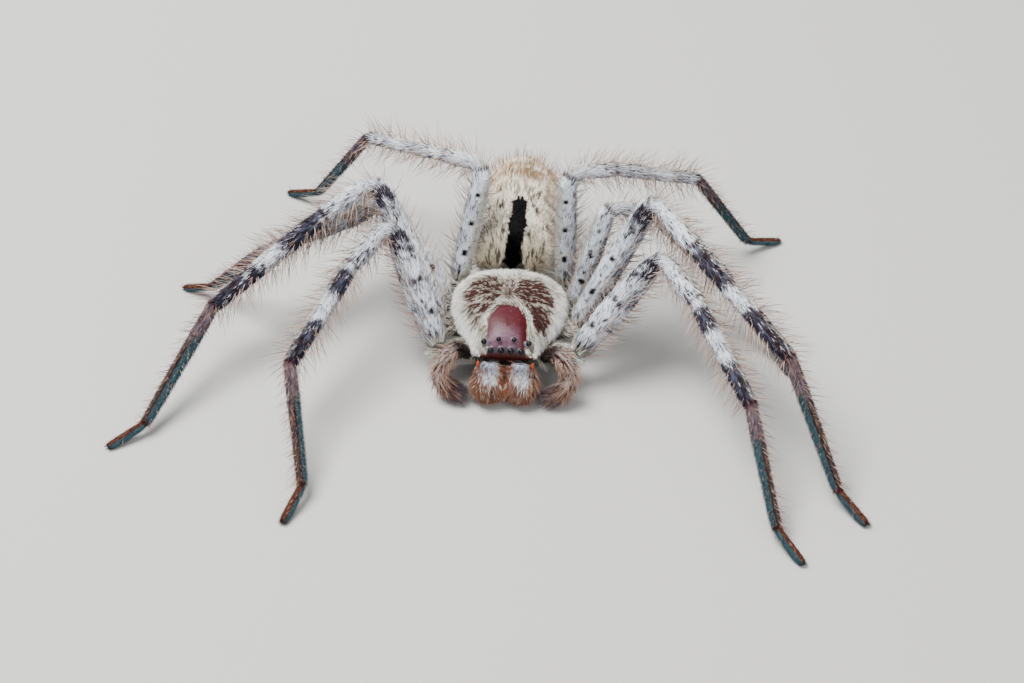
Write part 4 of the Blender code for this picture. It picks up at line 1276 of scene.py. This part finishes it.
def abdomen_coat():
    rng = np.random.default_rng(SEED + 500)
    y, roots, normals, home = surface_sample(
        abdomen_root, ((6.97, 27.6), (0, FULL_TURN)), ABDOMEN_HAIRS, 4)
    normals = face_out(normals, roots - ABDOMEN_CENTRE)
    count = len(y)
    x = roots[:, 0]
    rear = step(22.0, 27.0, y)
    front = fall(7.3, 9.0, y)
    corner = fall(7.4, 9.6, y) * step(1.6, 3.0, np.abs(x))
    # Hair runs to the rear, and up over the front dome.
    wish = np.ones((count, 3))
    wish[:, 0] = waves(roots, 2.0, 81) * 0.28 + rng.normal(0, 0.1, count)
    wish[:, 0] -= 0.15 * np.sign(x) * fall(7.4, 10.5, y) * step(1.0, 3.0, np.abs(x))
    wish[:, 2] = rng.normal(0, 0.1, count) + 1.7 * fall(7.2, 9.2, y)
    lifts = 15 + 14 * rear + 12 * front + 14 * corner + rng.normal(0, 5, count)
    aims = stand(unit(flatten(wish, normals)), normals, lifts)
    # Hair whose tip would lie over the black stripe is shorter.
    near = np.zeros(count)
    for shift in ((0, 0, 0), (0, 0.6, 0), (0.4, 0.3, 0), (-0.4, 0.3, 0)):
        near = np.maximum(near, abdomen_pattern(roots + shift)[0])
    lengths = 1.0 + 0.3 * rear + 0.3 * front + 0.3 * corner - 0.5 * near
    lengths *= rng.uniform(0.7, 1.3, count)
    widths = 0.11 * rng.uniform(0.75, 1.25, count)
    colours = abdomen_colours(roots + aims * (lengths * 0.6)[:, None], rng)
    grow("coat_abdomen", "abdomen_fur", (roots, normals, aims, lengths, widths, colours, home))
    # The flat front face, where the abdomen meets the waist, is closed by hair that fans out.
    count = ABDOMEN_FAN_HAIRS
    home = spread(count, 12)
    turn = home[:, 0] * FULL_TURN
    fan = np.stack([np.cos(turn), np.zeros(count), np.sin(turn)], axis=1)
    roots = np.array((0.0, 7.05, 6.6)) + fan * (2.9, 1, 1.9) * np.sqrt(home[:, 1])[:, None]
    normals = np.repeat([[0.0, -1.0, 0.0]], count, axis=0)
    rise = step(4.8, 6.0, roots[:, 2:3])
    aims = fan * (1 - 0.75 * rise) + np.array((0.0, 0.0, 1.0)) * rise
    aims = unit(aims + normals * rng.uniform(0.25, 0.7, (count, 1)) + rng.normal(0, 0.15, (count, 3)))
    lengths = rng.uniform(0.6, 1.1, count)
    widths = np.full(count, 0.12)
    colours = abdomen_colours(roots + aims * (lengths * 0.6)[:, None], rng)
    colours = mix(colours, ABDOMEN_CREAM, 0.5 * step(2.2, 2.5, np.abs(roots[:, 0])))
    grow("coat_abdomen_front", "abdomen_fur", (roots, normals, aims, lengths, widths, colours, home))


def abdomen_bristles():
    rng = np.random.default_rng(SEED + 520)
    y, roots, normals, home = surface_sample(
        abdomen_root, ((7.6, 27.6), (0, FULL_TURN)), ABDOMEN_BRISTLES, 6)
    normals = face_out(normals, roots - ABDOMEN_CENTRE)
    count = len(y)
    rear = step(18.0, 25.0, y)
    keep = rng.random(count) < 0.1 + 0.5 * rear
    keep &= abdomen_pattern(roots)[0] < 0.5
    wish = np.repeat([[0.0, 1.0, 0.0]], count, axis=0)
    lifts = 48 + 18 * rear + rng.normal(0, 9, count)
    aims = stand(unit(flatten(wish, normals)), normals, lifts, rng.normal(0, 0.1, (count, 3)))
    lengths = (1.5 + 1.2 * rear) * rng.uniform(0.6, 1.3, count)
    colours = mix(mix(SETA, TAN, rng.random(count)), SETA_DARK, (rng.random(count) < 0.25) * 0.8)
    hairs = (roots, normals, aims, lengths, np.full(count, 0.07), colours, home)
    grow("bristles_abdomen", "abdomen_fur", hairs, keep, bend=0.5, **BRISTLE)


# Jaws.
JAW_HAIRS = 9500
JAW_ROWS = 44
JAW_COLUMNS = 40
JAW_DEPTH = 0.08
JAW_ROOT_DEPTH = 0.1
BOSS_SIZE = (0.25, 0.34, 0.66)
BOSS_PLACE = (3.7, -11.25, 5.75)


def jaw_point(side, z, angle, grow_by):
    x, y, half, deep = sections(CHELICERA, z)
    dome = np.sqrt(1 - 0.72 * np.clip((z - 5.3) / 0.95, 0, 1) ** 2)
    out = half * dome + grow_by
    forth = deep * dome + grow_by
    return np.stack([side * x + out * np.cos(angle), y + forth * np.sin(angle), z], axis=-1)


def jaw_colours(side, points, rng=None):
    # Colours of the skin, or of hair where a source of chance is given.
    z = points[:, 2]
    x = points[:, 0] * side
    spots = waves(points, 0.8, 91)
    count = len(z)
    if rng is not None:
        z = z + rng.normal(0, 0.45, count)
        x = x + rng.normal(0, 0.2, count)
    white = step(2.9, 4.4, z + 0.35 * spots) * fall(0.8, 1.5, np.abs(x - 2.1) + 0.2 * spots)
    crown = step(4.8, 5.6, points[:, 2])
    white *= fall(-11.6, -11.2, points[:, 1] - 0.7 * crown)
    if rng is None:
        # The skin is painted darker than the hair over it, grey under the white patch: painted shade
        # between the hairs.
        return mix(JAW_SKIN * 0.7, ICE_SHADE, white * 0.8)
    grain = 0.7 * strokes(z, x * 1.1, 0.8, 0.16, 41) + 0.3 * rng.random(count)
    hair = mix(JAW_RUST, JAW_PINK, step(0.5, 0.85, grain))
    hair = mix(hair, JAW_DARK * 0.5, (grain < 0.47) * 0.9)
    hair = mix(hair, JAW_ORANGE, 0.75 * fall(0.7, 1.1, x) * (grain > 0.35))
    pale = mix(JAW_WHITE, ICE_SHADE, rng.random(count) * 0.25)
    pale = mix(pale, JAW_CROWN, crown * 0.7)
    pale = mix(pale, DASH, (grain < 0.23) * 0.85)
    return mix(hair, pale, rng.random(count) < white * 0.92 + 0.05)


def jaw_skin(letter, side):
    zs = np.linspace(CHELICERA[0, 0] + 0.03, CHELICERA[-1, 0] - 0.03, JAW_ROWS)
    spot = jaw_point(side, *grid(zs, circle(JAW_COLUMNS)), -JAW_DEPTH)
    verts, faces = tube_mesh(spot.reshape(JAW_ROWS, JAW_COLUMNS, 3))
    colour = capped(jaw_colours(side, spot), CLYPEUS, CLYPEUS)
    obj = make_mesh("skin_chelicera_" + letter, verts, faces, colour, SHINY_SKIN)
    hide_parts("chelicera_" + letter)


def jaw_coat(letter, side):
    rng = np.random.default_rng(SEED + 600)
    z, roots, normals, home = surface_sample(
        lambda u, v: jaw_point(side, u, v, -JAW_ROOT_DEPTH),
        ((1.5, 6.23), (0, FULL_TURN)),
        JAW_HAIRS, 8,
    )
    normals = face_out(normals, (roots - (side * 2.2, -11.6, 0)) * (1, 1, 0))
    count = len(z)
    down = np.array((0.0, -0.3, -1.0)) + rng.normal(0, 0.13, (count, 3))
    down[:, 0] -= 0.1 * side
    down = unit(flatten(down, normals))
    lowness = fall(3.4, 4.9, z)
    inner = fall(0.7, 1.1, np.abs(roots[:, 0]))
    aims = stand(down, normals, 14 + 12 * lowness + 14 * inner + rng.normal(0, 5, count))
    lengths = (0.5 + 0.7 * lowness + 0.25 * inner) * rng.uniform(0.7, 1.3, count)
    lengths = clear_floor(lengths, roots, aims, 0.35)
    colours = jaw_colours(side, roots + aims * (lengths * 0.6)[:, None], rng)
    hairs = (roots, normals, aims, lengths, np.full(count, 0.095), colours, home)
    grow("coat_chelicera_" + letter, "jaw_rust", hairs)
    pick = rng.random(count) < 0.01 + 0.12 * lowness
    roots, normals, down, home = (values[pick] for values in (roots, normals, down, home))
    count = len(roots)
    aims = stand(down, normals, 34 + rng.normal(0, 8, count))
    lengths = clear_floor(rng.uniform(1.2, 2.1, count), roots, aims, 0.3)
    colours = mix(mix(JAW_RUST, JAW_PINK, rng.random(count)), JAW_DARK, (rng.random(count) < 0.2) * 0.7)
    hairs = (roots, normals, aims, lengths, np.full(count, 0.07), colours, home)
    grow("bristles_chelicera_" + letter, "jaw_rust", hairs, bend=0.5, **BRISTLE)


def jaw_boss(letter, side):
    # The orange boss at the outer top corner of a jaw.
    verts, faces = tube_mesh(ball_rings(1.0) * BOSS_SIZE)
    verts = verts + np.array(BOSS_PLACE) * (side, 1, 1)
    colour = np.repeat(ORANGE[None], len(verts), axis=0)
    make_mesh("jaw_boss_" + letter, verts, faces, colour, GLOSS)


# Palps and fangs, which are tubes through a few points.
PALP_HAIRS = 7000
PALP_SAMPLES = 60
PALP_COLUMNS = 24
PALP_JOINTS = (0.3, 0.47, 0.66)
PALP_DEPTH = 0.1
PALP_ROOT_DEPTH = 0.12
FANG_SAMPLES = 30
FANG_COLUMNS = 20


def tube_line(table, side, count):
    # Places along a line through a table's points, the line, its frame and its radii.
    points = table[:, :3] * (side, 1, 1)
    along = np.concatenate([[0], np.cumsum(np.linalg.norm(np.diff(points, axis=0), axis=1))])
    places = np.linspace(0, along[-1], count)
    line = np.stack([curve(along, points[:, c], places) for c in range(3)], axis=1)
    tangents = unit(np.gradient(line, axis=0))
    backs = carry(tangents, np.array((0.0, 0.0, 1.0)))
    return places, (line, tangents, backs, np.cross(tangents, backs)), curve(along, table[:, 3], places)


def tube_rings(frames, girths, columns):
    # Rings of points round a line.
    line, _, backs, sides = frames
    angles = circle(columns)[None, :, None]
    ring = np.cos(angles) * backs[:, None] + np.sin(angles) * sides[:, None]
    return line[:, None] + ring * girths[:, None, None]


def palp_skin(letter, places, frames, girths):
    share = places / places[-1]
    pinch = np.zeros(len(places))
    for joint in PALP_JOINTS:
        pinch = np.maximum(pinch, 0.12 * fall(0.01, 0.05, np.abs(share - joint)))
    verts, faces = tube_mesh(tube_rings(frames, girths - PALP_DEPTH - pinch, PALP_COLUMNS))
    # The skin is painted darker than its hair, as painted shade between the hairs, and near black toward
    # the palp's base: a painted shadow where it meets the head. The joints are maroon.
    tone = mix(mix(PALP_SKIN * 0.6, MAROON, pinch * 6), BLACK, 0.85 * fall(0.2, 0.34, share))
    colour = capped(np.repeat(tone, PALP_COLUMNS, axis=0), PALP_SKIN, PALP_SKIN)
    obj = make_mesh("skin_palp_" + letter, verts, faces, colour, SKIN)
    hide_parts("palp_" + letter)


def palp_coat(letter, side, places, frames, girths):
    rng = np.random.default_rng(SEED + 700)
    home = spread(PALP_HAIRS, 9)
    count = PALP_HAIRS
    share = home[:, 0]
    place = share * places[-1]
    angle = home[:, 1] * FULL_TURN
    middle, tangents, back, across = (follow(place, places, rows) for rows in frames)
    normals = unit(np.cos(angle)[:, None] * back + np.sin(angle)[:, None] * across)
    girth = np.interp(place, places, girths)
    roots = middle + normals * (girth - PALP_ROOT_DEPTH)[:, None]
    brush = step(0.62, 0.74, share)
    base = fall(0.2, 0.34, share)
    lifts = 15 + 18 * brush + rng.normal(0, 6, count)
    inward = np.array((-side * 0.9, 0.15, -0.2)) * (brush * 0.5)[:, None]
    aims = stand(tangents, normals, lifts, inward + rng.normal(0, 0.08, (count, 3)))
    lengths = (0.75 + 1.5 * brush) * rng.uniform(0.65, 1.3, count)
    lengths = clear_floor(lengths, roots, aims, 0.2)
    grain = 0.7 * strokes(place, angle * 0.9, 0.8, 0.15, 51) + 0.3 * rng.random(count)
    upper = mix(PALP_BROWN, PALP_PALE, step(0.3, 0.55, grain))
    upper = mix(upper, JAW_DARK * 0.7, (grain < 0.26) * 0.85)
    lower = np.cos(angle) < -0.1
    hairy = mix(PALP_BROWN, JAW_PINK, step(0.3, 0.7, grain))
    blue = rng.random(count) < 0.4 + 0.3 * lower + 0.3 * step(0.72, 0.9, share)
    hairy = mix(hairy, PALP_BLUE, blue * 0.9)
    hairy = mix(hairy, JAW_DARK * 0.6, (grain < 0.36) * 0.85)
    # Hair near the palp's base is painted black: a painted shadow where it meets the head.
    colours = mix(mix(upper, hairy, brush), BLACK, base * 0.8)
    widths = (0.11 - 0.025 * brush) * rng.uniform(0.8, 1.2, count)
    grow("coat_palp_" + letter, "palp_hair", (roots, normals, aims, lengths, widths, colours, home))
    pick = (rng.random(count) < 0.06) & (share > 0.2)
    roots, normals, tangents, home = (values[pick] for values in (roots, normals, tangents, home))
    count = len(roots)
    aims = stand(tangents, normals, rng.normal(48, 8, count))
    lengths = clear_floor(rng.uniform(1.0, 1.9, count), roots, aims, 0.2)
    colours = mix(mix(SETA, JAW_PINK, rng.random(count)), JAW_DARK, (rng.random(count) < 0.25) * 0.8)
    hairs = (roots, normals, aims, lengths, np.full(count, 0.075), colours, home)
    grow("bristles_palp_" + letter, "palp_hair", hairs, bend=0.3, **BRISTLE)


def fang(letter, side):
    _, frames, girths = tube_line(FANG, side, FANG_SAMPLES)
    verts, faces = tube_mesh(tube_rings(frames, girths, FANG_COLUMNS))
    colour = np.repeat(FANG_RED[None], len(verts), axis=0)
    obj = make_mesh("fang_gloss_" + letter, verts, faces, colour, GLOSS)
    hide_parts("fang_" + letter)


def ball_rings(radius):
    # Rings of points of a ball, for tube_mesh.
    p, a = np.meshgrid(np.linspace(0.06, math.pi - 0.06, 14), circle(24), indexing="ij")
    return radius * np.stack([np.sin(p) * np.cos(a), np.sin(p) * np.sin(a), np.cos(p)], axis=-1)


def eyes():
    for name, letter, base, normal, radius in SEATS:
        middle = base + normal * (radius * EYE_RISE - EYE_SINK)
        verts, faces = tube_mesh(ball_rings(radius))
        colour = np.zeros((len(verts), 3))
        title = "eye_ball_%s_%s" % (name, letter)
        obj = make_mesh(title, verts + middle, faces, colour, EYE)
        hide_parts("eye_%s_%s" % (name, letter))


# Underside, floor, light and camera.
UNDERSIDE_HAIRS = 15000


def underside_coat():
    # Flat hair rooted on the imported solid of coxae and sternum.
    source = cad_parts["underside"].data
    source.calc_loop_triangles()
    co = np.array([v.co for v in source.vertices]) / MM - SHIFT
    a, b, c = co[np.array([t.vertices for t in source.loop_triangles])].transpose(1, 0, 2)
    cross = np.cross(b - a, c - a)
    area = np.linalg.norm(cross, axis=1)
    rng = np.random.default_rng(SEED + 800)
    count = UNDERSIDE_HAIRS
    pick = rng.choice(len(area), count, p=area / area.sum())
    u, v = rng.random((2, count, 1))
    flip = (u + v) > 1
    u = np.where(flip, 1 - u, u)
    v = np.where(flip, 1 - v, v)
    roots = a[pick] + (b[pick] - a[pick]) * u + (c[pick] - a[pick]) * v
    normals = unit(cross[pick])
    outward = roots * (1, 1, 0) - (0, -1, 0)
    far = step(6.0, 8.5, np.linalg.norm(outward, axis=1))
    lifts = 22 + 14 * far + rng.normal(0, 7, count)
    aims = stand(unit(flatten(outward, normals) + 1e-6), normals, lifts)
    pale = mix(mix(CREAM, OLIVE, rng.random(count)), ICE_SHADE, (rng.random(count) < 0.2) * 0.8)
    colours = mix(mix(BROWN, BROWN_DARK, rng.random(count)), pale, far)
    colours = mix(colours, SETA_DARK, (rng.random(count) < 0.12) * 0.8)
    lengths = (0.5 + 0.8 * far) * rng.uniform(0.7, 1.2, count)
    tips = roots + aims * lengths[:, None]
    # The unwrap is the view from above in one corner and the view from below in the other.
    home = (roots[:, :2] + 10) / 20
    home = np.where(normals[:, 2:3] > 0, home * 0.49, home * 0.49 + 0.5)
    hairs = (roots, normals, aims, lengths, np.full(count, 0.09), colours, home)
    grow("coat_underside", "under_brown", hairs, tips[:, 2] > 0.1)


def stage():
    mesh = bpy.data.meshes.new("floor")
    corners = [(-FLOOR_HALF, -FLOOR_HALF, 0), (FLOOR_HALF, -FLOOR_HALF, 0),
               (FLOOR_HALF, FLOOR_HALF, 0), (-FLOOR_HALF, FLOOR_HALF, 0)]
    mesh.from_pydata(corners, [], [(0, 1, 2, 3)])
    floor = bpy.data.objects.new("floor", mesh)
    bpy.context.scene.collection.objects.link(floor)
    mat, tree, shader = new_material("floor")
    feed(tree, shader, {"Base Color": FLOOR_COLOUR, "Roughness": 0.8})
    mesh.materials.append(mat)
    world = bpy.data.worlds.new("studio")
    world.use_nodes = True
    sky = world.node_tree.nodes["Background"]
    feed(world.node_tree, sky, {"Color": SKY_COLOUR, "Strength": SKY_STRENGTH})
    bpy.context.scene.world = world
    for name, place, size, power in LAMPS:
        data = bpy.data.lights.new(name, "AREA")
        data.size = size
        data.energy = power
        lamp = bpy.data.objects.new(name, data)
        bpy.context.scene.collection.objects.link(lamp)
        lamp.location = place
        lamp.rotation_euler = (-Vector(place)).to_track_quat("-Z", "Y").to_euler()


def camera():
    data = bpy.data.cameras.new("camera")
    data.sensor_width = 36.0
    data.lens = data.sensor_width / 2 / math.tan(math.radians(CAMERA_FIELD / 2))
    data.clip_start = 0.01
    data.clip_end = 20.0
    cam = bpy.data.objects.new("camera", data)
    bpy.context.scene.collection.objects.link(cam)
    a = math.radians(CAMERA_AZIMUTH)
    e = math.radians(CAMERA_ELEVATION)
    r = math.radians(CAMERA_ROLL)
    back = np.array((math.sin(a) * math.cos(e), -math.cos(a) * math.cos(e), math.sin(e)))
    right = unit(np.cross((0, 0, 1), back))
    up = np.cross(back, right)
    right, up = right * math.cos(r) + up * math.sin(r), up * math.cos(r) - right * math.sin(r)
    spot = (np.array(CAMERA_TARGET) + back * CAMERA_DISTANCE + SHIFT) * MM
    rows = [(right[i], up[i], back[i], spot[i]) for i in range(3)]
    cam.matrix_world = Matrix((*rows, (0, 0, 0, 1)))
    bpy.context.scene.camera = cam


camera()
stage()
for leg in LEGS.values():
    leg_skin(leg)
    leg_coat(leg)
    leg_bristles(leg)
carapace_skin()
carapace_coat()
abdomen_skin()
abdomen_coat()
abdomen_bristles()
for letter, side in SIDES:
    jaw_skin(letter, side)
    jaw_coat(letter, side)
for letter, side in SIDES:
    jaw_boss(letter, side)
for letter, side in SIDES:
    palp_line = tube_line(PALP, side, PALP_SAMPLES)
    palp_skin(letter, *palp_line)
    palp_coat(letter, side, *palp_line)
for letter, side in SIDES:
    fang(letter, side)
eyes()
underside_coat()
UNDER = cuticle_material("under_cuticle", srgb(60, 40, 34), srgb(140, 118, 100))
SPINNERET = cuticle_material("spinneret_cuticle", srgb(96, 64, 44), srgb(160, 122, 88))
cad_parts["underside"].data.materials[0] = UNDER
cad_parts["spinnerets"].data.materials[0] = SPINNERET
